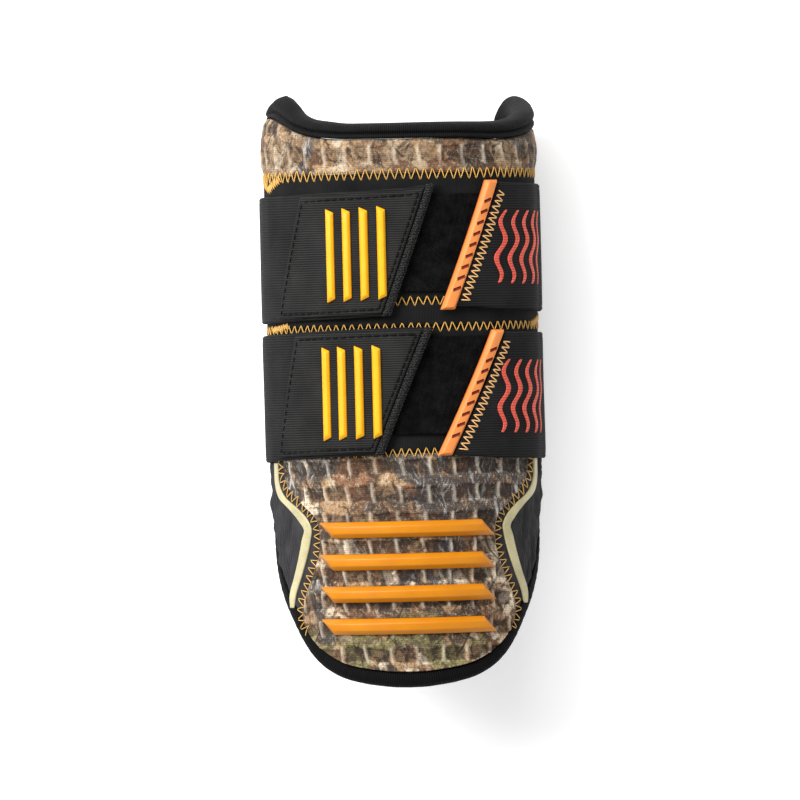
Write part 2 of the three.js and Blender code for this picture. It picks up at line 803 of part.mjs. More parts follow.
function asManifold(mesh) {
  const bare = mesh.geometry.clone();
  bare.deleteAttribute("normal");
  const merged = mergeVertices(bare, 1e-4);
  return new wasm.Manifold(
    new wasm.Mesh({
      numProp: 3,
      vertProperties: merged.attributes.position.array,
      triVerts: new Uint32Array(merged.index.array),
    }),
  );
}

function carved(mesh, cutters) {
  const whole = cutters.reduce((left, cutter) => left.subtract(asManifold(cutter)), asManifold(mesh));
  const result = whole.getMesh();
  const geometry = new THREE.BufferGeometry();
  geometry.setAttribute("position", new THREE.Float32BufferAttribute(result.vertProperties, 3));
  geometry.setIndex(Array.from(result.triVerts));
  geometry.computeVertexNormals();
  const made = new THREE.Mesh(geometry, mesh.material);
  made.name = mesh.name;
  return made;
}

// Raised rubber ribs with slanted ends

function strapRib(strap, index) {
  const scale = perDegree(strap.ribs, strap.middle);
  const shift = (index - (strapRibCount - 1) / 2) * strapRibPitch;
  const centre = strap.ribs + shift / scale;
  const half = strapRibWidth / 2 / scale;
  const lean = strapRibWidth * ribSlant;
  const stations = steps(-1, 1, 2).map((end) => ({
    angle: (side) => centre + side * half,
    along: (side) => strapMiddle(strap, centre) + (end * strapRibLength) / 2 + side * lean * Math.abs(end),
    lift: bandLift(centre) + bandThickness + panelThickness + 2 * clearance,
  }));
  const bevel = { left: -0.55, right: 0.55 };
  return bar(`${strap.name}_strap_rib_${index + 1}`, stations.reverse(), strapRibHeight, bevel, orangeRubber);
}

function shellRib(index) {
  const along = -shellRibHead - index * shellRibPitch;
  const scale = perDegree(30, along);
  const reach = shellRibLength / 2 / scale;
  const lean = (shellRibWidth * ribSlant) / scale;
  const stations = steps(-1, 1, 9).map((t) => ({
    angle: (side) => t * reach + side * lean,
    along: (side) => along - (side * shellRibWidth) / 2,
    lift: coverTop + shellLift(t * reach, along) + clearance,
  }));
  const bevel = { left: -0.4, right: 0.4 };
  return bar(`shell_rib_${index + 1}`, stations.reverse(), shellRibHeight, bevel, orangeRubber);
}

// Assembly

const counted = (count, make) => Array.from({ length: count }, (_, i) => make(i));

function padPieces() {
  return [
    foamPad(),
    mouthRim(),
    edgeBinding(),
    levelCover("upper_cover", steady(windowHead), (a) => rimFoot(a) - seamGap / 2, 36, 2, camouflage),
    levelCover("upper_window", steady(flexHead), steady(windowHead), 36, 2, blackKnit),
    levelCover("flex_strip", steady(flexFoot), steady(flexHead), 36, 1, blackKnit),
    lowerWindow(),
    shellCover(),
    sidePanel("left"),
    sidePanel("right"),
    sideStripe("left"),
    sideStripe("right"),
    ...counted(shellRibCount, shellRib),
  ];
}

function strapPieces(strap) {
  return [
    loopPatch(strap),
    strapBand(strap),
    strapPanel(strap),
    strapTape(strap),
    pullTab(strap),
    ...counted(strapRibCount, (i) => strapRib(strap, i)),
  ];
}

const guard = new THREE.Group();
guard.add(...padPieces(), ...strapPieces(strapEnds.upper), ...strapPieces(strapEnds.lower));

// The origin is under the middle of the guard, on the surface that it rests on.
const box = new THREE.Box3().setFromObject(guard);
const centre = box.getCenter(new THREE.Vector3());
guard.position.set(-centre.x, -centre.y, -box.min.z);

export default guard;
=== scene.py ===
# %% [markdown]
# # A batter's elbow guard
# This lesson dresses a plain model of an elbow guard as the real thing. The guard is a padded
# sleeve with a stiff shell tongue and two elastic straps, and almost all of it is cloth. Cloth is
# cut flat and then wrapped, so that is how we make it: each piece starts as a flat grid, gets its
# thickness, and is then bent round one body surface. First we open the frame that the plain model
# gives us. The dressed guard must stay the same size.

# %% Open the frame
import math

import bmesh
import bpy
import numpy as np
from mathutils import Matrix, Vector


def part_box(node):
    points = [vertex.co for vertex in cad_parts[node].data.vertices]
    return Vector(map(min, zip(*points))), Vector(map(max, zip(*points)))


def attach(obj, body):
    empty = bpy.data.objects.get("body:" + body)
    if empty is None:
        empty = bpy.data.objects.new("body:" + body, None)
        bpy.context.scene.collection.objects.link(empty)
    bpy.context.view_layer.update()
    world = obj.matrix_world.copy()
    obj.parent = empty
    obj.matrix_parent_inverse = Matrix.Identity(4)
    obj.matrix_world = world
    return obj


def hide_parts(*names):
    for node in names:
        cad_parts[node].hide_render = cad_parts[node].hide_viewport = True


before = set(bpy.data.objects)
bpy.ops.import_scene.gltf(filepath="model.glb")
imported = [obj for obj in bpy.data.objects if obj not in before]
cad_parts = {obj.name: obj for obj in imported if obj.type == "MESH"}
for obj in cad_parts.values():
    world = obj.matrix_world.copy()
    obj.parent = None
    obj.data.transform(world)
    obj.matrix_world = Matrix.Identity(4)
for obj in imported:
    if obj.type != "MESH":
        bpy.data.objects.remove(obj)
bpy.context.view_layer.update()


# %% [markdown]
# ## The camera and the light
# The guard lies on its straps with its face up, so the camera looks straight down on it. A long
# lens far away keeps the proportions flat, as in a catalogue picture. The camera is turned a
# little, which makes the guard lean. The studio is a pale floor, one large soft lamp at the upper
# left and weaker ones round it. Large lamps give soft edges to every highlight on the ribs. The
# floor glows a little, as a lit table does, so the guard casts only a faint shadow.

# %% Camera
MM = 0.001
TURN = 2 * math.pi
FRAME_WIDTH = 0.328  # metres of the guard's top that the picture spans
CAMERA_HEIGHT = 6.0
CROWN_HEIGHT = 0.093
LEAN = math.radians(1.35)

lens_mm = 36 * (CAMERA_HEIGHT - CROWN_HEIGHT) / FRAME_WIDTH
bpy.ops.object.camera_add(location=(-0.00174, -0.00406, CAMERA_HEIGHT), rotation=(0, 0, -LEAN))
camera = bpy.context.object
camera.name = "studio_camera"
camera.data.sensor_width = 36
camera.data.lens = lens_mm
camera.data.clip_end = 20
bpy.context.scene.camera = camera
print("lens, mm:", round(lens_mm, 1))

# %% Lamps and floor
GUARD_MIDDLE = Vector((0, 0, 0.04))


def lamp(name, spot, size, power):
    bpy.ops.object.light_add(type="AREA", location=spot)
    light = bpy.context.object
    light.name = name
    light.rotation_euler = (GUARD_MIDDLE - Vector(spot)).to_track_quat("-Z", "Y").to_euler()
    light.data.size, light.data.energy = size, power
    print(f"{name}: {power} W from {size} m")


lamp("key_lamp", (-0.7, 0.5, 0.95), 0.75, 22)
lamp("fill_lamp", (0.85, -0.1, 0.9), 0.9, 1.5)
lamp("top_lamp", (-0.1, 0.9, 1.0), 0.7, 8)
lamp("foot_lamp", (-0.2, -0.95, 0.8), 0.8, 2.5)

world = bpy.data.worlds.new("studio")
bpy.context.scene.world = world
world.use_nodes = True
world.node_tree.nodes["Background"].inputs["Color"].default_value = (1, 1, 1, 1)
world.node_tree.nodes["Background"].inputs["Strength"].default_value = 0.42
bpy.context.scene.view_settings.view_transform = "Standard"

bpy.ops.mesh.primitive_plane_add(size=6, location=(0, 0, -0.0002))
floor = bpy.context.object
floor.name = "studio_floor"
paper = bpy.data.materials.new("white_studio_paper")
paper.use_nodes = True
for socket, value in (("Base Color", (0.93, 0.93, 0.93, 1)), ("Roughness", 0.9),
                      ("Emission Color", (1, 1, 1, 1)), ("Emission Strength", 0.32)):
    paper.node_tree.nodes["Principled BSDF"].inputs[socket].default_value = value
floor.data.materials.append(paper)

# %% [markdown]
# ## The body surface
# One surface carries the whole guard: the outer face of its foam. A point on it is named by an
# angle round the arm, 0 on the crown and 90 on the right, and by a distance along the sleeve in
# millimetres from the seam above the shell. The width and the crown change slowly along the
# sleeve, so each is a smooth curve through a few rows of a table. We work in whole arrays of
# points, because the pieces have tens of thousands of them.


# %% Smooth curves through tables
def mix(a, b, t):
    return a + (b - a) * t


def smooth(t):
    t = np.clip(t, 0, 1)
    return t * t * (3 - 2 * t)


def cubic(t, start, stop, leave, arrive):
    """A cubic between two values, with a slope at each."""
    return ((2 * t**3 - 3 * t**2 + 1) * start + (t**3 - 2 * t**2 + t) * leave
            + (3 * t**2 - 2 * t**3) * stop + (t**3 - t**2) * arrive)


def curve(*rows):
    """A smooth curve through rows of (place, value)."""
    x, y = np.array(rows, float).T
    index = np.arange(len(x))
    left, right = np.maximum(index - 1, 0), np.minimum(index + 1, len(x) - 1)
    slope = (y[right] - y[left]) / (x[right] - x[left])

    def read(at):
        at = np.clip(at, x[0], x[-1])
        i = np.clip(np.searchsorted(x, at) - 1, 0, len(x) - 2)
        span = x[i + 1] - x[i]
        return cubic((at - x[i]) / span, y[i], y[i + 1], span * slope[i], span * slope[i + 1])

    return read


# %% The guard's own sizes, in millimetres and degrees
SHELL_LENGTH = 94.5
REAR = 140.0
STRAP_WIDTH = 52.0
LOWER_STRAP, UPPER_STRAP = 24.0, 82.5
FLEX_FOOT, FLEX_HEAD = 51.5, 62.3
WINDOW_HEAD = 114.5
MOUTH_FOOT = 129.2
EAR = 19.2
SLEEVE_LENGTH = SHELL_LENGTH + MOUTH_FOOT + EAR
WAIST = 46.1
HALF_WIDTH, CROWN_RISE, BACK_DROP = 54.3, 43, 44.5
COVER_TOP = 1.5  # the covers' lift over the foam
COVER_FOOT = 0.15
BAND_LOW, BAND_HIGH, BAND_THICK = 1.8, 3.3, 1.8
BINDING_COVER = 4.2
COVER_INSET = BINDING_COVER + 0.5
SEAM_GAP = 0.25
FLAT_DEGREE = 0.95  # millimetres of flat cloth cut for one degree
NUDGE = 0.05  # the step, in degrees or millimetres, that slopes are measured with

width_share = curve((0, 0.955), (0.12, 0.963), (0.25, 0.975), (0.36, 0.997), (0.5, 1.0),
                    (0.85, 1.003), (0.93, 0.998), (1, 0.965))
crown_share = curve((0, 0.86), (0.12, 0.93), (0.25, 0.98), (0.36, 0.998), (0.5, 1.003),
                    (0.85, 1.01), (0.93, 1.015), (1, 1.02))
tongue_rise = curve((0, 0), (9.4, 0.004), (27.8, 0.033), (39.5, 0.078), (48.6, 0.139),
                    (55.4, 0.204), (63.4, 0.291), (72.2, 0.378), (81.3, 0.472), (90, 0.575),
                    (105, 0.762), (118, 0.95), (130, 1.14), (137, 1.27), (140, 1.4))
rim_foot_share = curve((-140, 0.02), (-130, 0.3), (-116, 0.4), (-92, 0.46), (-80, 0.52),
                       (-70, 0.46), (-60, 0.34), (-51, 0.2), (-42, 0.09), (-34, 0.03), (-22, 0),
                       (25, -0.02), (48, -0.05), (62, 0), (76, 0.1), (92, 0.22), (108, 0.34),
                       (120, 0.38), (131, 0.28), (140, 0))
rim_top_share = curve((-140, 0.4), (-130, 0.6), (-116, 0.72), (-92, 0.76), (-80, 0.88),
                      (-70, 1.0), (-60, 0.86), (-51, 0.62), (-42, 0.47), (-34, 0.41),
                      (-22, 0.345), (25, 0.34), (48, 0.345), (62, 0.42), (76, 0.56), (92, 0.7),
                      (108, 0.86), (120, 0.92), (131, 0.72), (140, 0.36))

# The plain model's foam tells us how far its origin lies from the seam.
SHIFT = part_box("foam_pad")[0].y / MM + SHELL_LENGTH
print("seam above the shell is at y =", round(SHIFT, 2), "mm")


# %% Points on the body surface
def body(angle, along):
    share = (along + SHELL_LENGTH) / SLEEVE_LENGTH
    s, c = np.sin(np.radians(angle)), np.cos(np.radians(angle))
    x = HALF_WIDTH * width_share(share) * s * np.where(c >= 0, 1, 1 + 0.35 * c * c)
    z = np.where(c >= 0, CROWN_RISE * crown_share(share) * c, BACK_DROP * c * (1 + 0.2 * s * s))
    return np.stack([x, along + SHIFT, WAIST + z], -1)


def step_round(angle, along):
    return body(angle + NUDGE, along) - body(angle - NUDGE, along)


def place(angle, along, lift):
    """A point that far above the foam's face."""
    angle, along, lift = np.broadcast_arrays(angle, along, lift)
    up = body(angle, along + NUDGE) - body(angle, along - NUDGE)
    normal = np.cross(step_round(angle, along), up)
    normal /= np.linalg.norm(normal, axis=-1, keepdims=True)
    return body(angle, along) + normal * lift[..., None]


def per_degree(angle, along):
    """Millimetres of surface in one degree round the arm."""
    return np.linalg.norm(step_round(angle, along), axis=-1) / (2 * NUDGE)


def foam_foot(angle):
    return SHELL_LENGTH * (tongue_rise(np.abs(angle)) - 1)


def rim_foot(angle):
    return MOUTH_FOOT + EAR * rim_foot_share(angle)


def rim_top(angle):
    return MOUTH_FOOT + EAR * rim_top_share(angle)


def foot_slope(angle):
    """How steeply the tongue's outline climbs round the arm."""
    climb = foam_foot(angle + NUDGE) - foam_foot(angle - NUDGE)
    return climb / (2 * NUDGE * per_degree(angle, foam_foot(angle)))


def inset_foot(angle, inset):
    """The tongue's outline moved in by a distance, as angles and heights."""
    slope, foot = foot_slope(angle), foam_foot(angle)
    length = np.hypot(1, slope)
    return angle - inset * slope / length / per_degree(angle, foot), foot + inset / length


DEGREE = float(per_degree(0.0, 0.0))
print("crown, mm:", np.round(place(0.0, 0.0, 0.0), 1))
print("widest, mm:", np.round(place(90.0, 0.0, 0.0), 1))
print("one degree on the crown is", round(DEGREE, 3), "mm")

# %% [markdown]
# ## Cutting flat and wrapping
# A cloth piece starts as a grid primitive one unit square. The Solidify modifier gives it a second
# layer and closes its rim, so it is a real wall and not a card. Then every vertex is moved once:
# its flat x and y are looked up in a pattern, which answers with an angle and a distance along,
# and its depth chooses between the outer and the inner lift. The piece also keeps its flat
# coordinates as a UV map in metres, so a weave runs with the cloth wherever the cloth goes.


# %% Flat grids with a thickness
def only(thing):
    bpy.ops.object.select_all(action="DESELECT")
    thing.select_set(True)
    bpy.context.view_layer.objects.active = thing


def apply_all(thing):
    only(thing)
    for modifier in list(thing.modifiers):
        bpy.ops.object.modifier_apply(modifier=modifier.name)


def flat_sheet(name, wide, high, layers=True):
    bpy.ops.object.select_all(action="DESELECT")
    bpy.ops.mesh.primitive_grid_add(x_subdivisions=wide, y_subdivisions=high, size=1)
    sheet = bpy.context.object
    sheet.name = name
    if layers:
        wall = sheet.modifiers.new("wall", "SOLIDIFY")
        wall.thickness, wall.offset = 1, -1
        apply_all(sheet)
    return sheet


def vertex_table(piece):
    table = np.zeros(len(piece.data.vertices) * 3)
    piece.data.vertices.foreach_get("co", table)
    return table.reshape(-1, 3).T


def flat_points(piece):
    """Shares across and along from 0 to 1, and the depth from 0 outside to 1 inside."""
    x, y, z = vertex_table(piece)
    return x + 0.5, y + 0.5, -z


def corners_of(piece):
    """The vertex at each corner of each face."""
    corner = np.zeros(len(piece.data.loops), int)
    piece.data.loops.foreach_get("vertex_index", corner)
    return corner


def flat_map(piece):
    """The flat coordinates of each corner, in metres."""
    uv = np.zeros(len(piece.data.loops) * 2)
    piece.data.uv_layers.active.data.foreach_get("uv", uv)
    return uv.reshape(-1, 2)


def set_points(piece, points, uv):
    piece.data.vertices.foreach_set("co", (points * MM).ravel())
    piece.data.uv_layers.active.data.foreach_set("uv", (uv[corners_of(piece)] * MM).ravel())
    piece.data.update()
    piece.data.polygons.foreach_set("use_smooth", [True] * len(piece.data.polygons))


def wrap(piece, pattern, outer, inner, lowest=None):
    """Bends a flat sheet: pattern(u, v) gives angles and heights, outer and inner give lifts."""
    u, v, depth = flat_points(piece)
    angle, along = pattern(u, v)
    top, bottom = (lift(angle, along, u, v) if callable(lift) else lift for lift in (outer, inner))
    points = place(angle, along, mix(top, bottom, depth))
    if lowest is not None:
        points[:, 2] = np.maximum(points[:, 2], depth * lowest)
    set_points(piece, points, np.stack([angle * FLAT_DEGREE, along], -1))
    return piece


# %% Patterns and edges
def between(left, right, foot, head):
    """left and right give angles for a height share; foot and head give heights for an angle."""

    def pattern(u, v):
        angle = mix(left(v), right(v), u)
        return angle, mix(foot(angle), head(angle), v)

    return pattern


def always(value):
    return lambda at: value + 0 * at


def from_edge(u, v, wide, high):
    """Millimetres to the nearest edge of a flat piece of that size."""
    return np.minimum(np.minimum(u, 1 - u) * wide, np.minimum(v, 1 - v) * high)


def tuck(inside, drop, reach):
    """How much lower the cloth lies near a cut edge, where it is sewn down."""
    return drop * (1 - smooth(inside / reach))


# %% [markdown]
# ## Finishes as expressions
# Materials here are sums of patterns. Writing them as node code hides the sum, so a small class
# wraps a socket and lets Python's own plus, minus and times add the Math nodes. Colours go through
# Mix nodes. Every other node comes from one method, which sets the node's options first and then
# its sockets.


# %% The material bench
class Number:
    """A shader value that can be used in a sum."""

    def __init__(self, bench, socket):
        self.bench, self.socket = bench, socket

    def _math(self, operation, a, b=0.0):
        node = self.bench.add("ShaderNodeMath", {"operation": operation}, {0: a, 1: b})
        return Number(self.bench, node.outputs[0])

    def __add__(self, other):
        return self._math("ADD", self, other)

    def __sub__(self, other):
        return self._math("SUBTRACT", self, other)

    def __rsub__(self, other):
        return self._math("SUBTRACT", other, self)

    def __mul__(self, other):
        return self._math("MULTIPLY", self, other)

    def __truediv__(self, other):
        return self._math("DIVIDE", self, other)

    def __mod__(self, other):
        return self._math("FLOORED_MODULO", self, other)

    __radd__, __rmul__ = __add__, __mul__

    def at_least(self, other):
        return self._math("MAXIMUM", self, other)

    def size(self):
        return self._math("ABSOLUTE", self)

    def wave(self):
        return self._math("SINE", self)

    def ridges(self):
        """A sine wave between 0 and 1."""
        return self.wave() * 0.5 + 0.5

    def ramp(self, low, high, start=0.0, stop=1.0):
        sockets = {"Value": self, "From Min": low, "From Max": high, "To Min": start,
                   "To Max": stop}
        node = self.bench.add("ShaderNodeMapRange", {"interpolation_type": "SMOOTHSTEP"}, sockets)
        return Number(self.bench, node.outputs[0])


class Finish:
    """One material, built up node by node."""

    def __init__(self, name, roughness, gloss):
        self.material = bpy.data.materials.new(name)
        self.material.use_nodes = True
        self.tree = self.material.node_tree
        self.shader = self.tree.nodes["Principled BSDF"].inputs
        self.shader["Roughness"].default_value = roughness
        self.shader["Specular IOR Level"].default_value = gloss

    def add(self, kind, settings=None, sockets=None):
        node = self.tree.nodes.new(kind)
        for key, value in (settings or {}).items():
            if key == "stops":
                self._stops(node.color_ramp, value)
            else:
                setattr(node, key, value)
        for key, value in (sockets or {}).items():
            self.feed(node.inputs[key], value)
        return node

    def _stops(self, ramp, stops):
        ramp.interpolation = "CONSTANT"
        while len(ramp.elements) < len(stops):
            ramp.elements.new(0.5)
        for element, (where, colour) in zip(ramp.elements, stops):
            element.position = where
            element.color = (*colour, 1)

    def feed(self, socket, value):
        if isinstance(value, Number):
            value = value.socket
        if isinstance(value, bpy.types.NodeSocket):
            self.tree.links.new(value, socket)
        elif isinstance(value, tuple) and len(value) == 3 and socket.type == "RGBA":
            socket.default_value = (*value, 1)
        else:
            socket.default_value = value

    def number(self, socket):
        return Number(self, socket)

    def in_mm(self, vector):
        sockets = {0: vector, "Scale": 1000.0}
        return self.add("ShaderNodeVectorMath", {"operation": "SCALE"}, sockets).outputs[0]

    def parts(self, socket):
        """The first two numbers of a colour or a vector."""
        outputs = self.add("ShaderNodeSeparateXYZ", None, {0: socket}).outputs
        return self.number(outputs[0]), self.number(outputs[1])

    def flat(self):
        """The cloth's own coordinates in millimetres: across, along, and both as a vector."""
        where = self.in_mm(self.add("ShaderNodeUVMap").outputs[0])
        return (*self.parts(where), where)

    def kept(self, name):
        """A number that was stored on the piece's vertices."""
        node = self.add("ShaderNodeAttribute", {"attribute_name": name})
        return self.number(node.outputs["Fac"])

    def vector(self, x, y, z=0.0):
        return self.add("ShaderNodeCombineXYZ", None, {0: x, 1: y, 2: z}).outputs[0]

    def noise(self, where, size, detail=3.0, rough=0.55, warp=0.0):
        """Soft noise whose blotches are about that many millimetres across."""
        sockets = {"Vector": where, "Scale": 1.0 / size, "Detail": detail, "Roughness": rough,
                   "Distortion": warp}
        node = self.add("ShaderNodeTexNoise", {"noise_dimensions": "2D"}, sockets)
        return self.number(node.outputs[0])

    def blend(self, amount, a, b):
        return self.add("ShaderNodeMix", {"data_type": "RGBA"}, {0: amount, 6: a, 7: b}).outputs[2]

    def finished(self, height, depth, tone, dark, light):
        """Raises the surface by height times depth in millimetres and colours it by the tone."""
        sockets = {"Strength": 1.0, "Distance": depth * MM, "Height": height}
        self.feed(self.shader["Normal"], self.add("ShaderNodeBump", None, sockets).outputs[0])
        self.feed(self.shader["Base Color"], self.blend(tone, dark, light))
        print("finish:", self.material.name, "of", len(self.tree.nodes), "nodes")
        return self.material


def grey(level):
    return (level, level, level)


# %% [markdown]
# ## Knitted and woven black cloth
# All the black cloth on the guard is alike from afar and different from close by. The windows are a
# fine warp knit: upright wales about 0.6 mm apart, each a string of small loops. The straps are
# woven elastic whose weft makes cross ribs. Both are waves on the flat coordinates, so the pattern
# bends round the arm with the cloth. Real black cloth is a dark grey with a little dust and wear,
# so its colour varies gently.


# %% Knit finishes
def knit(name, dark, light, wale=0.62, course=0.5, depth=0.12, roughness=0.85):
    cloth = Finish(name, roughness, 0.1)
    across, along, where = cloth.flat()
    wales = ((across + cloth.noise(where, 3.0) * 0.5) * (TURN / wale)).ridges()
    loops = (along * (TURN / course) + (across * (math.pi / wale)).wave() * 1.5).ridges()
    height = wales * 0.6 + loops * 0.25 + cloth.noise(where, 0.25, 2.0) * 0.4
    tone = (height * 0.55 + cloth.noise(where, 14.0) * 0.6 - 0.15).ramp(0.1, 1.0)
    return cloth.finished(height, depth, tone, dark, light)


black_knit = knit("black_window_knit", grey(0.003), grey(0.014))
side_knit = knit("stretch_side_knit", (0.018, 0.0175, 0.0185), (0.056, 0.054, 0.057), 0.7, 0.6,
                 0.08, 0.8)
lining_knit = knit("lining_knit", (0.014, 0.014, 0.015), (0.040, 0.040, 0.042), 1.1, 0.9, 0.15)

# %% [markdown]
# ## The foam and its lining
# The sleeve's body is foam between two cloths, about 5.5 mm thick and thinner at its edges, where
# the tape closes over it. Inside it is quilted into long channels that let it bend. Cloth and foam
# have no hard edges, so the thickness fades out towards every border.

# %% Foam body
FOAM_THICK, FOAM_EDGE = 5.5, 3.2
QUILT_DEPTH = 1.1


def dress(piece, material, slot, *nodes):
    """Gives a finished piece its material and its body, and hides the plain nodes it stands for."""
    piece.data.materials.clear()
    piece.data.materials.append(material)
    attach(piece, "root")
    if nodes:
        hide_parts(*nodes)
    return piece


def foam_depth(angle, along, u, v):
    from_foot = (along - foam_foot(angle)) / np.hypot(1, foot_slope(angle))
    side = (REAR - np.abs(angle)) * per_degree(angle, along)
    inside = np.minimum(np.minimum(side, from_foot), rim_foot(angle) - along)
    channel = np.cos(np.radians(angle) * 9) ** 16
    thick = mix(FOAM_EDGE, FOAM_THICK, smooth(inside / 14))
    return QUILT_DEPTH * channel * smooth((inside - 8) / 10) - thick


foam = flat_sheet("foam_and_lining", 190, 96)
wrap(foam, between(always(-REAR), always(REAR), foam_foot, rim_foot), 0.0, foam_depth)
dress(foam, lining_knit, "foam_lining", "foam_pad")
print("foam and lining:", len(foam.data.polygons), "faces")

# %% [markdown]
# ## The knitted windows and the flexing strip
# Three bands of black knit run round the sleeve behind the straps. They meet edge to edge on
# seams, and beside a seam the cloth is pulled down into the foam. That tuck is what makes a seam
# visible, so it is in the shape and not only in the colour.


# %% Where the covers end
def tongue_angle(along):
    """Where the covers' outline along the tongue reaches a height, found by halving."""
    low, high = np.full(np.shape(along), 60.0), np.full(np.shape(along), REAR)
    for _ in range(24):
        middle = (low + high) / 2
        below = inset_foot(middle, COVER_INSET)[1] < along
        low, high = np.where(below, middle, low), np.where(below, high, middle)
    return low


def rear_stop(along):
    """The covers' rear end at a height, beside the binding."""
    tongue = inset_foot(tongue_angle(along), COVER_INSET)[0]
    return np.minimum(tongue, REAR - COVER_INSET / per_degree(REAR + 0 * along, along))


# %% Covers between seams
BOTH_FACES = 2.04  # all faces of a thin wall over one of its sides


def declare_cloth(piece):
    flat = flat_map(piece)
    width, length = (float(side) for side in flat.max(0) - flat.min(0))
    faces = np.zeros(len(piece.data.polygons))
    piece.data.polygons.foreach_get("area", faces)
    area = float(faces.sum()) / BOTH_FACES
    if area > width * length:
        width = 1.001 * area / length
    print(f"{piece.name}: {1000 * width:.0f} x {1000 * length:.0f} mm, {1e4 * area:.0f} square cm")


def level_cover(name, node, material, slot, foot, head, wide, high, relief=None, puff=0.0):
    def stop(v):
        return rear_stop(mix(foot(0.0), head(0.0), v))

    def top(angle, along, u, v):
        swell = np.sin(math.pi * v) ** 0.7 * mix(0.55, 1.25, smooth((np.abs(angle) - 45) / 30))
        edge = tuck(from_edge(u, v, 250, head(0.0) - foot(0.0)), 0.7, 1.4)
        return COVER_TOP + puff * swell - edge - (relief(angle, along) if relief else 0)

    pattern = between(lambda v: -stop(v), stop, lambda a: foot(a) + SEAM_GAP,
                      lambda a: head(a) - SEAM_GAP)
    piece = wrap(flat_sheet(name, wide, high), pattern, top, COVER_FOOT)
    dress(piece, material, slot, node)
    declare_cloth(piece)
    return piece


for name, node, foot, head, rows in (
        ("upper_knit_window", "upper_window", FLEX_HEAD, WINDOW_HEAD, 50),
        ("flexing_strip", "flex_strip", FLEX_FOOT, FLEX_HEAD, 14),
        ("lower_knit_window", "lower_window", 0.0, FLEX_FOOT, 50)):
    level_cover(name, node, black_knit, "black_knit", always(foot), always(head), 240, rows)

# %% [markdown]
# ## The printed covers
# The cover above the straps and the one over the shell are printed stretch cloth, moulded into rows
# of shallow cells about 11 mm apart. Between two cells of a row stands a thin upright welt, a
# little bowed, and a flat raised band parts the rows. We work the relief out as a drop for each
# point and keep the same numbers as attributes, so that painted highlights can lighten the print on
# welts and bands and painted shade can darken it in the cells.


# %% Height of the moulded cells
BAND_SHARE = 0.19  # half of the raised band, as a share of a row
CELL_DEPTH, BAND_DROP, WELT_RISE, WELT_WIDTH = 1.15, 0.42, 0.4, 0.62


def wander(x, y, size, seed=0):
    """Slow smooth noise between -1 and 1, from a few turned waves."""
    turns = np.random.default_rng(seed).uniform(0, TURN, (5, 2))
    total = 0
    for k, (turn, phase) in enumerate(turns):
        finer = 1 + 0.35 * k
        run = (x * math.cos(turn) + y * math.sin(turn)) / size * finer
        total = total + np.sin(TURN * run + phase) / finer
    return total / 2.6


def pads(x, y, pitch=10.9, row=11.0):
    """Drop below the cloth's highest level, in millimetres, and how much of it is welt."""
    x = x + 0.9 * wander(x, y, 45, 1) + 0.35 * wander(x, y, 11, 2)
    y = y + 0.8 * wander(x, y, 40, 3) + 0.45 * wander(x, y, 13, 4)
    row_at = (y / row) % 1.0
    bow = 1.5 * (row_at - 0.5) + 0.6 * np.sin(math.pi * row_at)
    column = np.abs(((x + bow - 0.9 * np.floor(y / row)) / pitch + 0.5) % 1.0 - 0.5) * pitch
    in_cell = (0.5 - BAND_SHARE - np.abs(row_at - 0.5)) * row  # below 0 on the raised band
    cell = smooth((column - 0.4) / 1.2) * smooth(in_cell / 1.2)
    welt = np.exp(-((column / WELT_WIDTH) ** 2)) * smooth(in_cell + 0.7)
    depth = CELL_DEPTH * cell * (0.8 + 0.2 * wander(x, y, 23, 6))
    drop = BAND_DROP + depth - WELT_RISE * welt - 0.14 * wander(x, y, 5, 5)
    return np.clip(drop, 0, 1.75), welt * (0.62 + 0.38 * wander(x, y, 17, 8))


def keep(piece, name, values):
    """Stores one number for each vertex, for the material to read."""
    attribute = piece.data.attributes.new(name, "FLOAT", "POINT")
    attribute.data.foreach_set("value", np.asarray(values, float))


def keep_pads(piece, cells):
    flat = np.zeros((len(piece.data.vertices), 2))
    flat[corners_of(piece)] = flat_map(piece) / MM
    for name, values in zip(("drop", "welt"), cells(*flat.T)):
        keep(piece, name, values)
        print(f"{piece.name} {name}: {values.min():.2f} to {values.max():.2f}")


# %% Leaf shapes for the print
def leaf_litter(cloth, x, y, size, seed, tints):
    """Fallen leaves of about that size: their tints, their dark borders and their veins."""
    bent = cloth.noise(cloth.vector(x + seed, y), size * 0.6, 3.0, 0.6) - 0.5
    at_x = (x + bent * (size * 0.9)) / size
    at_y = (y - bent * (size * 0.6)) / size * 0.8 + seed
    where = {"Vector": cloth.vector(at_x, at_y), "Scale": 1.0}
    leaf, edge = (
        cloth.add("ShaderNodeTexVoronoi", {"voronoi_dimensions": "2D", "feature": feature}, where)
        for feature in ("F1", "DISTANCE_TO_EDGE"))
    kind, turn = cloth.parts(leaf.outputs["Color"])
    middle_x, middle_y = cloth.parts(leaf.outputs["Position"])
    sine, cosine = (turn * TURN).wave(), (turn * TURN + TURN / 4).wave()
    out_x, out_y = at_x - middle_x, at_y - middle_y
    down, aside = out_x * cosine + out_y * sine, (out_y * cosine - out_x * sine).size()
    ribs = ((down + aside * 0.8) * (TURN / 0.17)).wave().ramp(0.82, 0.98) * 0.5
    veins = aside.ramp(0.03, 0.012).at_least(ribs)
    tint = cloth.add("ShaderNodeValToRGB", {"stops": tints}, {0: kind}).outputs[0]
    return tint, cloth.number(edge.outputs[0]).ramp(0.09, 0.01), veins, kind


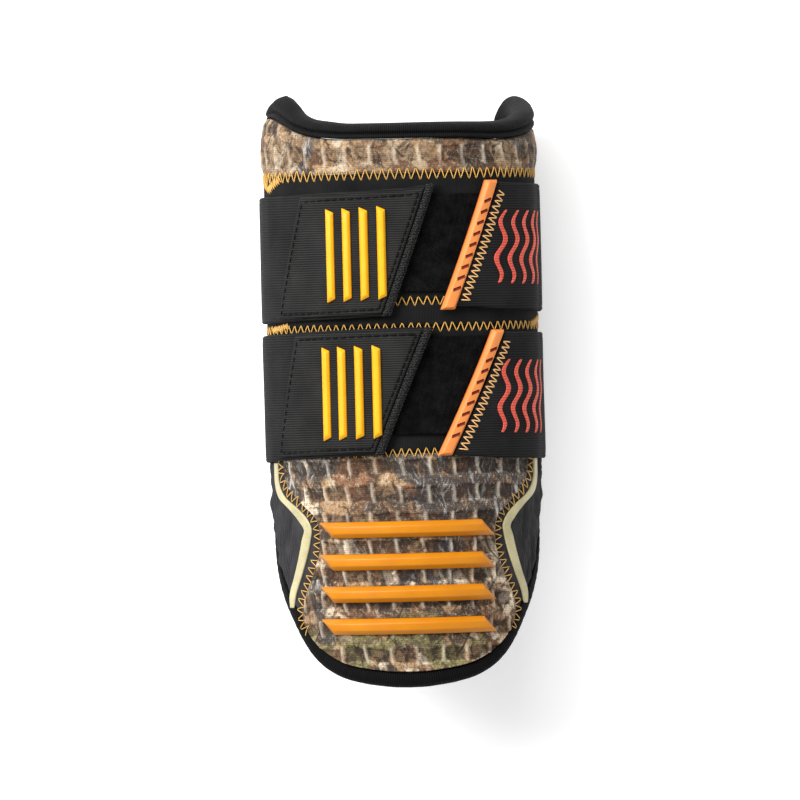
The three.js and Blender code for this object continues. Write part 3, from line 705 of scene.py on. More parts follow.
# %% The finish of the printed cloth
TAN, BROWN, RED_BROWN = (0.34, 0.20, 0.095), (0.155, 0.070, 0.030), (0.215, 0.088, 0.036)
SHADE, CREAM, OLIVE = (0.05, 0.028, 0.017), (0.66, 0.54, 0.39), (0.20, 0.19, 0.062)
# The cells' tint below is painted shade, and the band and welt tints are painted highlights.
DARK, CELL_PAINTED_SHADE, TWIG = (0.026, 0.015, 0.010), (0.026, 0.016, 0.011), (0.018, 0.012, 0.010)
BARK_DARK, BARK_PALE = (0.024, 0.026, 0.034), (0.42, 0.40, 0.37)
BAND_HIGHLIGHT, WELT_HIGHLIGHT = (0.50, 0.40, 0.28), (0.76, 0.68, 0.55)
COURSE = 0.85  # millimetres between two rows of knitting


def brushwood(name, seed, tints, cream, cream_share, olive_share, bark_share, border, cell_shade,
              drift):
    """A loose woodland print: leaves of two sizes, bark, pale flecks and a few straight twigs.

    The bark grows and the olive fades as drift goes from 0 to 1."""
    cloth = Finish(name, 0.8, 0.25)
    across, along, where = cloth.flat()

    def blotches(x, y, *how):
        return cloth.noise(cloth.vector(x, y), *how)

    def paint(amount, tint):
        nonlocal base
        base = cloth.blend(amount, base, tint)

    high = drift(across, along)
    big, big_edge, big_vein, kind = leaf_litter(cloth, across, along, 15.0, seed, tints)
    small, small_edge, small_vein, _ = leaf_litter(cloth, along, across, 6.0, seed + 5.3, tints)
    over = blotches(across + 30, along - seed, 15.0).ramp(0.48, 0.54)
    base = cloth.blend(over, big, small)
    mottle = blotches(across - seed, along, 6.0, 6.0, 0.75, 0.5)
    fine = blotches(across * 1.3, along, 1.5, 5.0, 0.8, 0.3)
    leafy = blotches(across + 90, along - seed, 26.0, 3.0, 0.5, 0.4) + (0.10 - high * 0.16)
    paint(leafy.ramp(1 - olive_share, 1.06 - olive_share) * kind.ramp(0.30, 0.36) * 0.8, OLIVE)
    paint(mottle.ramp(0.56, 0.70) * 0.6, cream)
    paint(mottle.ramp(0.50, 0.37) * 0.92, DARK)
    paint(mix(big_vein, small_vein, over) * mottle.ramp(0.4, 0.55) * 0.35, cream)
    paint(mix(big_edge, small_edge, over) * fine.ramp(0.3, 0.6) * border, DARK)

    outer = across.size().ramp(18, 42)
    pale = blotches(across + 40, along + seed, 30.0, 4.0, 0.6, 0.8) + (outer * 0.13 - 0.04)
    paint(pale.ramp(1 - cream_share, 1.07 - cream_share) * mottle.ramp(0.36, 0.55), cream)
    woods = blotches(across - 70, along + seed * 3, 40.0, 3.0, 0.5, 0.4) + (high * 0.22 - 0.12)
    grain = blotches((across + along * 0.15) * 2.0 + seed, along * 0.7, 7.0, 7.0, 0.72, 0.7)
    bark = woods.ramp(1 - bark_share, 1.06 - bark_share)
    paint(bark * grain.ramp(0.36, 0.50) * 0.9, BARK_DARK)
    paint(bark * grain.ramp(0.54, 0.66) * 0.85, BARK_PALE)
    for lean, apart, offset in ((0.72, 27.0, 4.0), (-0.55, 34.0, 17.0)):
        beside = across + along * lean + cloth.noise(where, 12.0, 2.0) * 3.0 + offset
        reach = blotches(across + offset * 9, along + seed, 13.0, 1.0).ramp(0.5, 0.6)
        paint((beside % apart - apart / 2).size().ramp(0.75, 0.35) * reach * 0.85, TWIG)
    paint(fine.ramp(0.49, 0.37) * 0.72, DARK)
    paint(fine.ramp(0.57, 0.68) * 0.5, cream)

    # Painted light from the stored relief: highlights on the raised bands and welts, shade in the
    # deep cells.
    drop = cloth.kept("drop")
    paint(drop.ramp(0.75, 0.40) * 0.05, BAND_HIGHLIGHT)
    paint(drop.ramp(0.65, 1.3) * cell_shade, CELL_PAINTED_SHADE)
    paint(cloth.kept("welt") * 0.55, WELT_HIGHLIGHT)
    courses = (along * (TURN / COURSE) + (across * 4.0).wave() * 0.7).ridges()
    fibre = cloth.noise(where, 0.35, 2.0)
    tone = (courses * 0.4 + fibre * 0.7).ramp(0.75, 0.25) * 0.25
    return cloth.finished(courses * 0.5 + fibre * 0.6, 0.14, tone, base, (0.02, 0.015, 0.01))


shell_print = brushwood(
    "shell_woodland_print", 13.0,
    [(0, SHADE), (0.2, BROWN), (0.42, RED_BROWN), (0.6, TAN), (0.93, CREAM)], CREAM,
    cream_share=0.42, olive_share=0.36, bark_share=0.46, border=0.95, cell_shade=0.62,
    drift=lambda across, along: along.ramp(-66, -16))
upper_print = brushwood(
    "upper_woodland_print", 61.0,
    [(0, SHADE), (0.08, BROWN), (0.26, (0.25, 0.15, 0.08)), (0.48, TAN),
     (0.76, (0.38, 0.26, 0.15)), (0.94, CREAM)], (0.52, 0.43, 0.31),
    cream_share=0.375, olive_share=0.28, bark_share=0.435, border=0.6, cell_shade=0.34,
    drift=lambda across, along: across.ramp(-20, 40))


# %% The upper printed cover
def upper_cells(x, y):
    return pads(x, y + 1, 9.8, 13)


upper = level_cover("upper_printed_cover", "upper_cover", upper_print, "camouflage_knit",
                    always(WINDOW_HEAD), rim_foot, 300, 32,
                    lambda angle, along: 0.75 * upper_cells(angle * FLAT_DEGREE, along)[0], 1.1)
keep_pads(upper, upper_cells)

# %% [markdown]
# ## The shell's cover
# The tongue holds a stiff shell, so its cover swells by about 2 mm in the middle. Its outline is an
# hourglass: it follows the binding round the foot, draws in at the waist and widens to the seam.
# Four curved borders define it, and a point inside is blended from them.

# %% The hourglass
SHELL_HEAD_ANGLE, SHELL_FOOT_ANGLE = 66.0, 54.5
SHELL_SWELL = 2
FIRST_RIB, RIB_PITCH = -31, 13.2

shell_side = curve((0, 66), (0.06, 67), (0.105, 65.5), (0.153, 61), (0.217, 51), (0.27, 43.8),
                   (0.333, 41.5), (0.43, 42.5), (0.534, 47.5), (0.64, 54), (0.71, 57),
                   (0.775, 54.5))
CORNER = inset_foot(SHELL_FOOT_ANGLE, COVER_INSET)


def shell_border(v):
    """The right side of the hourglass, from the binding up to the seam."""
    below = mix(0.775, 0, v)
    blend = smooth(1 - v * 6)
    return mix(shell_side(below), CORNER[0], blend), mix(-below * SHELL_LENGTH, CORNER[1], blend)


def four_sided(foot, head, left, right):
    """A pattern blended from four borders; each gives angles and heights for a share."""

    def pattern(u, v):
        found = []
        for key in (0, 1):
            f0, f1 = foot(np.zeros(1))[key], foot(np.ones(1))[key]
            h0, h1 = head(np.zeros(1))[key], head(np.ones(1))[key]
            corners = mix(mix(f0, f1, u), mix(h0, h1, u), v)
            crosswise = mix(left(v)[key], right(v)[key], u)
            lengthwise = mix(foot(u)[key], head(u)[key], v)
            found.append(lengthwise + crosswise - corners)
        return found

    return pattern


def trimmed(pattern, wide, high):
    """Draws a pattern in on every side, to leave the gap of a seam."""
    side, end = SEAM_GAP / wide, SEAM_GAP / high
    return lambda u, v: pattern(mix(side, 1 - side, u), mix(end, 1 - end, v))


def shell_swell(angle, along):
    across = np.maximum(0, 1 - (angle / 70) ** 2)
    lengthwise = np.maximum(0, 1 - np.abs((-along / SHELL_LENGTH - 0.54) / 0.46) ** 4)
    return SHELL_SWELL * across * lengthwise


# %% The shell's cover with its level seats for the ribs
def place_of_rib(index):
    return FIRST_RIB - index * RIB_PITCH


def rib_seat(angle, along):
    """0 under a rubber rib, where the cover lies level, and 1 away from the ribs."""
    beside = smooth((np.abs(angle) - 33) / 4)
    nearest = np.min([np.abs(along - place_of_rib(index)) for index in range(4)], axis=0)
    return np.maximum(smooth((nearest - 2.9) / 1.4), beside)


def shell_top(angle, along, u, v):
    drop = mix(0.5, pads(angle * FLAT_DEGREE, along)[0], rib_seat(angle, along))
    inside = from_edge(u, v, 90, 90)
    level = COVER_TOP + 0.5 + shell_swell(angle, along)
    return level - drop * smooth(inside / 3) - tuck(inside, 1.2, 1.8)


shell_pattern = four_sided(
    lambda u: inset_foot(mix(-SHELL_FOOT_ANGLE, SHELL_FOOT_ANGLE, u), COVER_INSET),
    lambda u: (mix(-SHELL_HEAD_ANGLE, SHELL_HEAD_ANGLE, u), 0 * u),
    lambda v: (-shell_border(v)[0], shell_border(v)[1]), shell_border)
shell = flat_sheet("shell_printed_cover", 200, 180)
wrap(shell, trimmed(shell_pattern, 100, 94), shell_top, COVER_FOOT)
dress(shell, shell_print, "camouflage_knit", "shell_cover")
keep_pads(shell, pads)
declare_cloth(shell)

# %% [markdown]
# ## Side panels and their pale stripes
# Beside the shell the sleeve is plain stretch knit, which wrinkles upright where the tongue bends.
# A film stripe is heat-pressed on it, with a sharp turn at the waist, and keeps the cloth under it
# flat. The left and right pieces are mirror images, so one function makes both.

# %% Side panels
SIDES = (("left", -1), ("right", 1))
stripe_inner = curve((0.02, 71), (0.05, 71), (0.125, 70.5), (0.18, 65), (0.23, 55), (0.28, 48.6),
                     (0.335, 46.8), (0.42, 49), (0.53, 54.6), (0.61, 59.6), (0.66, 61.4),
                     (0.71, 61.6))
stripe_outer = curve((0.02, 76), (0.05, 76), (0.125, 76), (0.18, 72.5), (0.23, 62.5), (0.28, 55.4),
                     (0.335, 52.8), (0.42, 55), (0.53, 60.4), (0.61, 65.4), (0.66, 65.2),
                     (0.71, 62.6))


def mirrored(pattern, sign):
    """The pattern itself for the right side, and its mirror image for the left."""
    if sign > 0:
        return pattern

    def mirror(u, v):
        angle, along = pattern(1 - u, v)
        return -angle, along

    return mirror


def rear_border(v):
    return inset_foot(mix(56.5, float(tongue_angle(0.0)), v), COVER_INSET)


def side_pattern(u, v):
    def level(at):
        a, b = shell_border(np.full(1, at)), rear_border(np.full(1, at))
        return lambda share: (mix(a[0], b[0], share), mix(a[1], b[1], share))

    return four_sided(level(0.0), level(1.0), shell_border, rear_border)(u, v)


def side_top(angle, along, u, v):
    inside = from_edge(u, v, 40, 90)
    wrinkle = (0.6 * wander(np.abs(angle) * 1.4, along * 0.22, 10, 9)
               + 0.4 * wander(angle, along * 0.35, 5, 10))
    behind_film = np.abs(angle) - stripe_outer(-along / SHELL_LENGTH)
    wrinkle = wrinkle * mix(0.35, 2.0, smooth((behind_film - 0.5) / 6))
    return COVER_TOP - 0.35 + wrinkle * smooth(inside / 3) - tuck(inside, 0.8, 1.5)


for side, sign in SIDES:
    panel = flat_sheet(f"{side}_stretch_panel", 60, 110)
    wrap(panel, mirrored(trimmed(side_pattern, 50, 94), sign), side_top, COVER_FOOT)
    dress(panel, side_knit, "side_knit", f"{side}_side_panel")
    declare_cloth(panel)


# %% The pressed film stripe
def film_finish():
    film = Finish("pale_pressed_film", 0.42, 0.45)
    where = film.flat()[2]
    grain, cloud = film.noise(where, 0.8), film.noise(where, 12.0)
    tone = (cloud * 0.7 + grain * 0.3).ramp(0.3, 0.7)
    return film.finished(grain, 0.05, tone, (0.37, 0.325, 0.175), (0.50, 0.445, 0.25))


def stripe_pattern(u, v):
    below = mix(0.664, 0.032, v)
    sharp = 2.3 * np.exp(-(((below - 0.325) / 0.028) ** 2))
    inner, outer = stripe_inner(below) - 0.25 * sharp, stripe_outer(below) - 0.75 * sharp
    return mix(inner, outer, u), -below * SHELL_LENGTH


def stripe_top(angle, along, u, v):
    return COVER_TOP + 0.45 - tuck(np.minimum(u, 1 - u), 0.25, 1 / 8)


pale_film = film_finish()
for side, sign in SIDES:
    stripe = flat_sheet(f"{side}_film_stripe", 10, 110)
    wrap(stripe, mirrored(stripe_pattern, sign), stripe_top, COVER_TOP - 0.3)
    dress(stripe, pale_film, "pale_film", f"{side}_side_stripe")

# %% [markdown]
# ## Rolled edges
# The mouth is finished with a thick soft roll, and the other edges with a folded ribbed tape. Both
# are one outline carried along a path. We roll a flat grid into that outline: across the grid is
# once round the outline, and along it is the path. Where the two borders meet we merge their
# vertices, and at both ends the outline shrinks to a point, so the roll is closed.


# %% Rolling a grid into a closed outline
def closed_outline(*rows):
    """A smooth loop through rows of two numbers, read by a share from 0 to 1."""
    rows = np.array(rows, float)
    count = len(rows)
    tightness = 0.8 / 2

    def read(share):
        at = (share % 1.0) * count
        i = np.floor(at).astype(int)
        p0, p1, p2, p3 = (rows[(i + k) % count] for k in (-1, 0, 1, 2))
        return cubic((at - i)[..., None], p1, p2, (p2 - p0) * tightness, (p3 - p1) * tightness)

    return read


def roll(name, round_count, long_count, at):
    """at(around, along) gives points and flat coordinates; both borders of around are one line."""
    piece = flat_sheet(name, round_count, long_count, layers=False)
    u, v, _ = flat_points(piece)
    set_points(piece, *at(u, v))
    only(piece)
    bpy.ops.object.mode_set(mode="EDIT")
    bpy.ops.mesh.select_all(action="SELECT")
    bpy.ops.mesh.remove_doubles(threshold=1e-7)
    bpy.ops.mesh.normals_make_consistent(inside=False)
    bpy.ops.object.mode_set(mode="OBJECT")
    print(f"{name}: {len(piece.data.polygons)} faces")
    return piece


def closing(v, ends):
    """1 along a roll and 0 at its two ends, where its outline shrinks to a point."""
    return np.sqrt(np.clip(np.minimum(v, 1 - v) * ends, 0, 1))


# %% The roll at the mouth: shares of the rim's height, and lifts in millimetres
RIM_PROFILE = closed_outline(
    (0.0, -6.0), (-0.005, -3.2), (0.0, -0.6), (0.02, 1.5), (0.10, 2.35), (0.2, 2.35),
    (0.275, 1.7), (0.325, 1.25), (0.38, 1.9), (0.50, 2.75), (0.68, 2.75), (0.86, 1.6),
    (0.985, -0.8), (1.0, -2.9), (0.93, -5.0), (0.78, -6.4), (0.60, -6.8), (0.3, -6.8))
EAR_DIP = 1.9  # how much lower the left ear lies


def rim_at(u, v):
    share, lift = np.moveaxis(RIM_PROFILE(u), -1, 0)
    end = closing(v, 60)
    angle = mix(REAR, -REAR, v)
    share = mix(0.45, share, end)
    lift = mix(-2.2, lift, end) - EAR_DIP * np.exp(-(((angle + 82) / 30) ** 2))
    pucker = 0.12 * wander(angle, 12 * share, 7, 21)
    along = mix(rim_foot(angle) + 0.2, rim_top(angle), share)
    return place(angle, along, lift + pucker * end), np.stack([angle * FLAT_DEGREE, u * 34], -1)


rim = roll("mouth_roll", 64, 380, rim_at)

# %% The edge tape: distances outwards and lifts in millimetres
TAPE_PROFILE = closed_outline(
    (-4.2, 1.45), (-4.3, 0.8), (-4.2, 0.25), (-1.5, 0.2), (0.25, 0.2), (0.3, -1.6),
    (0.25, -3.45), (-2, -4.1), (-4.2, -4.75), (-4.35, -5.3), (-4.1, -5.85), (-2.0, -5.35),
    (0.0, -4.55), (1.25, -3.5), (1.85, -2.3), (1.9, -1.1), (1.5, 0.2), (0.5, 1.25),
    (-1.0, 1.75), (-2.8, 1.75))
TAPE_STEP = 0.004


def path_run(angle, along):
    """The distance covered at each point of a path on the guard."""
    steps = np.hypot(np.diff(angle) * per_degree(angle, along)[1:], np.diff(along))
    return np.concatenate([[0], np.cumsum(steps)])


def tape_path(share):
    """Down the left rear edge, round the tongue and up the right rear edge."""
    straight = mix(float(rim_foot(REAR)), float(foam_foot(REAR)), np.linspace(0, 1, 40)[:-1])
    around, side = np.linspace(-REAR, REAR, 500), np.full(len(straight), REAR)
    angle = np.concatenate([-side, around, side])
    along = np.concatenate([straight, foam_foot(around), straight[::-1]])
    run = path_run(angle, along)
    at = share * run[-1]
    return np.interp(at, run, angle), np.interp(at, run, along), at


def tape_at(u, v):
    outward, lift = np.moveaxis(TAPE_PROFILE(u), -1, 0)
    end = closing(v, 120)
    outward, lift = mix(-1.2, outward, end), mix(-2.2, lift, end)
    angle, along, run = tape_path(1 - v)
    before, after = (tape_path(np.clip(1 - v + step, 0, 1)) for step in (-TAPE_STEP, TAPE_STEP))
    scale = per_degree(angle, along)
    x, y = (after[0] - before[0]) * scale, after[1] - before[1]
    length = np.hypot(x, y)
    pucker = 0.1 * np.sin(run * 1.7) * np.sin(run * 0.31) * (lift > 0)
    angle, along = angle + outward * y / length / scale, along - outward * x / length
    return place(angle, along, lift + pucker), np.stack([run, u * 26], -1)


tape = roll("edge_tape", 40, 560, tape_at)


# %% Ribbed tape finish
def ribbed(name, dark, light, pitch):
    """Soft black tape with fine ribs across its length."""
    cloth = Finish(name, 0.75, 0.09)
    along, across, where = cloth.flat()
    ribs = (along * (TURN / pitch) + (across * 0.9).wave() * 0.4).ridges()
    height = ribs * 0.8 + cloth.noise(where, 0.3, 2.0) * 0.4
    tone = (ribs * 0.75 + cloth.noise(where, 9.0) * 0.4).ramp(0.2, 0.9)
    return cloth.finished(height, 0.2, tone, dark, light)


rim_finish = ribbed("mouth_ribbed_knit", grey(0.001), grey(0.011), 0.85)
tape_finish = ribbed("edge_ribbed_tape", (0.0006, 0.0006, 0.0008), (0.0045, 0.0045, 0.005), 0.95)
dress(rim, rim_finish, "rim_knit", "mouth_rim")
dress(tape, tape_finish, "rim_knit", "edge_binding")

# %% [markdown]
# ## Elastic straps
# Each strap is a woven elastic band. It starts under the pull tab, runs over the right side and the
# back, and comes up on the left to a slanted end. Over the loop patch it rides higher. At the back
# it lies flat on the table. Its two long edges are woven thicker, which shows as a fine line.

# %% Strap lines
# Slanted lines are the angles of their foot and their head. The lean is in units of 3 mm.
STRAPS = {
    "upper": {"middle": UPPER_STRAP, "anchor": (-4.5, 14.5), "tab": (22.4, 44.0),
              "seam": (-60.6, -44.0), "ribs": -18.1,
              "lean": curve((-180, -0.37), (-90, -0.7), (0, 0.03), (22, 1), (45, 0.65), (90, 0.33),
                            (180, -0.37))},
    "lower": {"middle": LOWER_STRAP, "anchor": (-8.8, 12.4), "tab": (19.8, 46.0),
              "seam": (-63.4, -48.8), "ribs": -21.4,
              "lean": curve((-180, -0.5), (-90, -0.23), (0, 0.5), (22, 0.2), (45, -0.3), (90, -0.5),
                            (180, -0.5))},
}
PATCH_LEFT, PATCH_RIGHT, PATCH_HEIGHT = -20.0, 58.0, 40.0
END_TAPE_WIDTH = 3.4


def turned(angle):
    return (angle + 180) % 360 - 180


def strap_middle(strap, angle):
    return STRAPS[strap]["middle"] + 3 * STRAPS[strap]["lean"](turned(angle))


def strap_along(strap, angle, share):
    """The distance along at a share of the strap's width."""
    return strap_middle(strap, angle) + (share - 0.5) * STRAP_WIDTH


def band_lift(angle):
    outside = np.maximum(np.maximum(PATCH_LEFT - turned(angle), turned(angle) - PATCH_RIGHT), 0)
    return mix(BAND_HIGH, BAND_LOW, smooth((outside - 7) / 14))


def over_band(rise):
    """A lift that far above the face of the band."""
    return lambda angle, *_: band_lift(angle) + BAND_THICK + rise


def slanted(strap, key, by=0.0):
    """The angle of one of the strap's slanted lines, for a height share."""
    foot, head = STRAPS[strap][key]
    return lambda share: mix(foot, head, share) + by


def strap_pattern(strap, left, right, narrow=0.0):
    trim = narrow / STRAP_WIDTH

    def pattern(u, v):
        share = mix(trim, 1 - trim, v)
        angle = mix(left(share), right(share), u)
        return angle, strap_along(strap, angle, share)

    return pattern


# %% Woven finishes of the straps
def woven(name, dark, light, pitch, rib_share):
    """Woven elastic: cross ribs, upright warp ends and a soft dusty wear."""
    cloth = Finish(name, 0.82, 0.1)
    across, along, where = cloth.flat()
    ribs = ((along + cloth.noise(where, 5.0) * 0.3) * (TURN / pitch)).ridges()
    ends, fibre = (across * (TURN / 0.8)).ridges(), cloth.noise(where, 0.3, 2.0)
    height = ribs * 0.8 + ends * 0.2 + fibre * 0.35
    wear = cloth.noise(where, 16.0) * 0.4 + fibre * 0.3 + (0.125 - rib_share / 2)
    return cloth.finished(height, 0.12, (ribs * rib_share + wear).ramp(0.1, 1.0), dark, light)


def flecked_finish():
    """Coarse knitted tape: dark loops with pale flecks where they catch the light."""
    knitted = Finish("grey_flecked_tape", 0.85, 0.1)
    across, along, where = knitted.flat()
    rows = (across * 5.2).wave()
    loops = rows * (along * 6.0 + rows).wave() * 0.5 + 0.5
    flecks = knitted.noise(where, 0.55, 3.0, 0.7)
    tone = (flecks + loops * 0.25).ramp(0.56, 0.86)
    pale = (0.050, 0.050, 0.049)
    return knitted.finished(loops * 0.6 + flecks * 0.7, 0.3, tone, grey(0.003), pale)


def pile_finish():
    pile = Finish("black_loop_pile", 0.95, 0.05)
    where = pile.flat()[2]
    loops, matted = pile.noise(where, 0.5, 4.0, 0.75), pile.noise(where, 6.0, 4.0, 0.7)
    tone = (loops * 0.6 + matted * 0.5 - 0.1).ramp(0.25, 0.85)
    return pile.finished(loops, 0.6, tone, grey(0.001), grey(0.015))


band_finish = woven("woven_elastic_band", grey(0.003), grey(0.023), 1.05, 0.36)
panel_finish = woven("woven_elastic_panel", grey(0.004), (0.033, 0.032, 0.031), 0.95, 0.45)
grey_finish, loop_pile = flecked_finish(), pile_finish()


# %% The bands
def band_top(angle, along, u, v):
    """The band's face, thinner near its two long edges, with the selvedge line."""
    inside = np.minimum(v, 1 - v) * STRAP_WIDTH
    edge = tuck(inside, 0.55, 0.9) + 0.3 * np.exp(-(((inside - 1.9) / 0.35) ** 2))
    sway = 0.18 * wander(turned(angle), along * 0.2, 24, 31)
    return band_lift(angle) + BAND_THICK - edge + sway


bands = {}
for strap in STRAPS:
    bands[strap] = band = flat_sheet(f"{strap}_elastic_band", 270, 66)
    pattern = strap_pattern(strap, slanted(strap, "tab"), slanted(strap, "anchor", 360))
    wrap(band, pattern, band_top, over_band(0.05 - BAND_THICK), BAND_THICK)
    dress(band, band_finish, "elastic", f"{strap}_strap_band")
    declare_cloth(band)

# %% [markdown]
# ## The strap's end: panel, slanted tape and loop patch
# The strap's front end is doubled by a panel that is sewn on all round, and a dark flecked tape
# closes its slanted edge. The black patch that shows between the end and the pull tab is loop pile,
# the soft half of a hook-and-loop fastener. Its surface is a mat of tiny loops, so it swallows
# light. A rough height on a fine grid gives it that broken edge.


# %% Panels, tapes and patches
def tape_left(strap):
    """The left edge of the slanted tape, with a seam's gap."""
    return slanted(strap, "anchor", -(END_TAPE_WIDTH + 0.4) / DEGREE)


def panel_top(angle, along, u, v):
    inside = from_edge(u, v, 60, 48)
    groove = 0.28 * np.exp(-(((inside - 1.8) / 0.5) ** 2))
    ease = 0.15 * wander(angle, along * 0.4, 14, 33)
    return over_band(1.5)(angle) - tuck(inside, 0.6, 1.1) - groove + ease


def tape_top(angle, along, u, v):
    inside = from_edge(u, v, END_TAPE_WIDTH, STRAP_WIDTH)
    return over_band(1.95)(angle) - tuck(inside, 0.9, 1.4) + 0.08 * np.sin(along * 3)


def pile_top(angle, along, u, v):
    across = angle * FLAT_DEGREE
    return 2.95 + 0.25 * wander(across, along, 2.3, 41) + 0.2 * wander(across, along, 1.1, 42)


for strap in STRAPS:
    panel = flat_sheet(f"{strap}_end_panel", 120, 84)
    wrap(panel, strap_pattern(strap, slanted(strap, "seam"), tape_left(strap), 1.2), panel_top,
         over_band(-0.1))
    dress(panel, panel_finish, "elastic", f"{strap}_strap_panel")
    declare_cloth(panel)

    end = flat_sheet(f"{strap}_grey_end_tape", 14, 90)
    left = slanted(strap, "anchor", -END_TAPE_WIDTH / DEGREE)
    wrap(end, strap_pattern(strap, left, slanted(strap, "anchor")), tape_top, over_band(-0.1))
    dress(end, grey_finish, "grey_tape", f"{strap}_strap_tape")

    middle = STRAPS[strap]["middle"] + 3.5
    patch = flat_sheet(f"{strap}_loop_pile_patch", 110, 66)
    wrap(patch, between(always(PATCH_LEFT), always(PATCH_RIGHT), always(middle - PATCH_HEIGHT / 2),
                        always(middle + PATCH_HEIGHT / 2)), pile_top, 1.55)
    dress(patch, loop_pile, "loop_pile", f"{strap}_loop_patch")
    declare_cloth(patch)

# %% [markdown]
# ## Moulded rubber: the ribs and the pull tabs
# The ribs are soft rubber, moulded with a chamfer all round and slanted ends. We model one flat, as
# on a bench: a cube at its size, its top face drawn in for the chamfer, its edges rounded, and
# bisect cuts across so that it can bend. Only then is it bent onto the guard.

# %% A flat rubber bar
SHOULDER = 0.42  # height of the chamfer's foot, as a share of the bar's height


def rubber_bar(name, length, width, height, top, chamfer, cuts, rounding=0.3):
    bpy.ops.object.select_all(action="DESELECT")
    bpy.ops.mesh.primitive_cube_add(size=1, location=(0, 0, height / 2))
    bar = bpy.context.object
    bar.name = name
    bar.scale = (length, width, height)
    bpy.ops.object.transform_apply(location=True, scale=True)
    bpy.ops.object.mode_set(mode="EDIT")
    bpy.ops.mesh.select_all(action="DESELECT")
    shape = bmesh.from_edit_mesh(bar.data)
    for face in shape.faces:
        face.select = face.normal.z > 0.9
    bmesh.update_edit_mesh(bar.data)
    bpy.ops.mesh.extrude_region_move(TRANSFORM_OT_translate={"value": (0, 0, 0)})
    bpy.ops.transform.resize(value=((length - 2 * chamfer) / length, top, 1))
    shape = bmesh.from_edit_mesh(bar.data)
    for vertex in shape.verts:
        if not vertex.select and vertex.co.z > height * 0.9:
            vertex.co.z = height * SHOULDER
    bmesh.update_edit_mesh(bar.data)
    bpy.ops.mesh.select_all(action="SELECT")
    bpy.ops.mesh.bevel(offset=rounding, segments=3, affect="EDGES")
    for x in np.linspace(-length / 2, length / 2, cuts + 2)[1:-1]:
        bpy.ops.mesh.select_all(action="SELECT")
        bpy.ops.mesh.bisect(plane_co=(x, 0, 0), plane_no=(1, 0, 0))
    bpy.ops.object.mode_set(mode="OBJECT")
    return bar


def bend_onto(piece, at):
    """Moves a flat piece onto the guard; at(x, y, z) gives angle, along and lift."""
    x, y, z = vertex_table(piece)
    keep(piece, "rise", z / z.max())
    set_points(piece, place(*at(x, y, z)), np.stack([x, y + z], -1))
    only(piece)
    bpy.ops.object.shade_smooth_by_angle(angle=math.radians(32))
    return piece


# %% Rubber finishes
def rubber(name, base, foot_shade_tint, light, roughness):
    """Coloured rubber: painted shade makes it deeper at a bar's foot and leaves it paler on its
    shoulder, with a moulded grain.
    """
    skin = Finish(name, roughness, 0.32)
    where = skin.in_mm(skin.add("ShaderNodeTexCoord").outputs["Object"])

    def noise(scale):
        sockets = {"Vector": where, "Scale": scale, "Detail": 3.0}
        return skin.number(skin.add("ShaderNodeTexNoise", None, sockets).outputs[0])

    drift, grain = noise(0.12), noise(3.0)
    skin.feed(skin.shader["Roughness"], grain.ramp(0.3, 0.7, roughness - 0.07, roughness + 0.1))
    upper_tint = skin.blend(drift.ramp(0.3, 0.7) * 0.35, base, light)
    # Painted shade: the tint darkens from the shoulder down to the bar's foot.
    low = (skin.kept("rise") + grain * 0.1).ramp(0.62, 0.12)
    return skin.finished(grain, 0.03, low, upper_tint, foot_shade_tint)


shell_rubber = rubber("golden_orange_rubber", (0.50, 0.165, 0.0008), (0.31, 0.032, 0.0004),
                      (0.58, 0.225, 0.001), 0.36)
strap_rubber = rubber("yellow_orange_rubber", (0.74, 0.335, 0.001), (0.52, 0.13, 0.001),
                      (0.84, 0.43, 0.006), 0.38)
tab_rubber = rubber("light_orange_rubber", (0.64, 0.200, 0.044), (0.52, 0.095, 0.018),
                    (0.74, 0.27, 0.075), 0.42)
notch_red = rubber("notch_red_rubber", (0.20, 0.022, 0.010), (0.12, 0.012, 0.006),
                   (0.24, 0.03, 0.014), 0.5)

# %% The ribs on the shell and on each strap
SHELL_RIB = {"length": 64, "width": 6.6, "height": 3.5, "top": 0.42, "chamfer": 2.2, "cuts": 40}
STRAP_RIB = {"length": 37, "width": 3.2, "height": 1.9, "top": 0.5, "chamfer": 1.4, "cuts": 8,
             "rounding": 0.22}
STRAP_RIB_PITCH = 6.6
END_SLANT = 0.9, 0.5  # of the shell's ribs and of the straps' ribs


def shell_rib(index):
    rib = place_of_rib(index)
    scale = float(per_degree(30.0, rib))

    def at(x, y, z):
        lift = COVER_TOP - 0.2 + shell_swell(x / scale, rib)
        return (x - y * END_SLANT[0]) / scale, rib + y, lift + z

    bar = bend_onto(rubber_bar(f"shell_rubber_rib_{index + 1}", **SHELL_RIB), at)
    return dress(bar, shell_rubber, "orange_rubber", f"shell_rib_{index + 1}")


def strap_rib(strap, index):
    ribs = STRAPS[strap]["ribs"]
    scale = float(per_degree(ribs, STRAPS[strap]["middle"]))
    centre = ribs + (index - 1.5) * STRAP_RIB_PITCH / scale
    middle, base = float(strap_middle(strap, centre)), float(over_band(1.45)(centre))

    def at(x, y, z):
        return centre - y / scale, middle + x + y * END_SLANT[1] * np.sign(x), base + z

    bar = bend_onto(rubber_bar(f"{strap}_rubber_rib_{index + 1}", **STRAP_RIB), at)
    return dress(bar, strap_rubber, "orange_rubber", f"{strap}_strap_rib_{index + 1}")


for index in range(4):
    shell_rib(index)
for strap in STRAPS:
    for index in range(4):
        strap_rib(strap, index)
print("ribs, mm:", SHELL_RIB["length"], "on the shell and", STRAP_RIB["length"], "on the straps")

# %% [markdown]
# ## Pull tabs
# A moulded tab closes the free end of each band. It has short slanted grip notches down its
# middle. On a real tab they are part of the mould, so we cut them with a Boolean modifier from the
# flat bar and bend the bar afterwards.

# %% Tabs with grip notches
TAB = {"width": 5.9, "height": 3.3, "top": 0.62, "chamfer": 0.9, "cuts": 24, "rounding": 0.35}
TAB_OVERHANG = 0.5
NOTCHES, NOTCH_LENGTH, NOTCH_RADIUS = 9, 2.9, 0.75
NOTCH_ROW = -0.1  # the notches' middle, across the tab


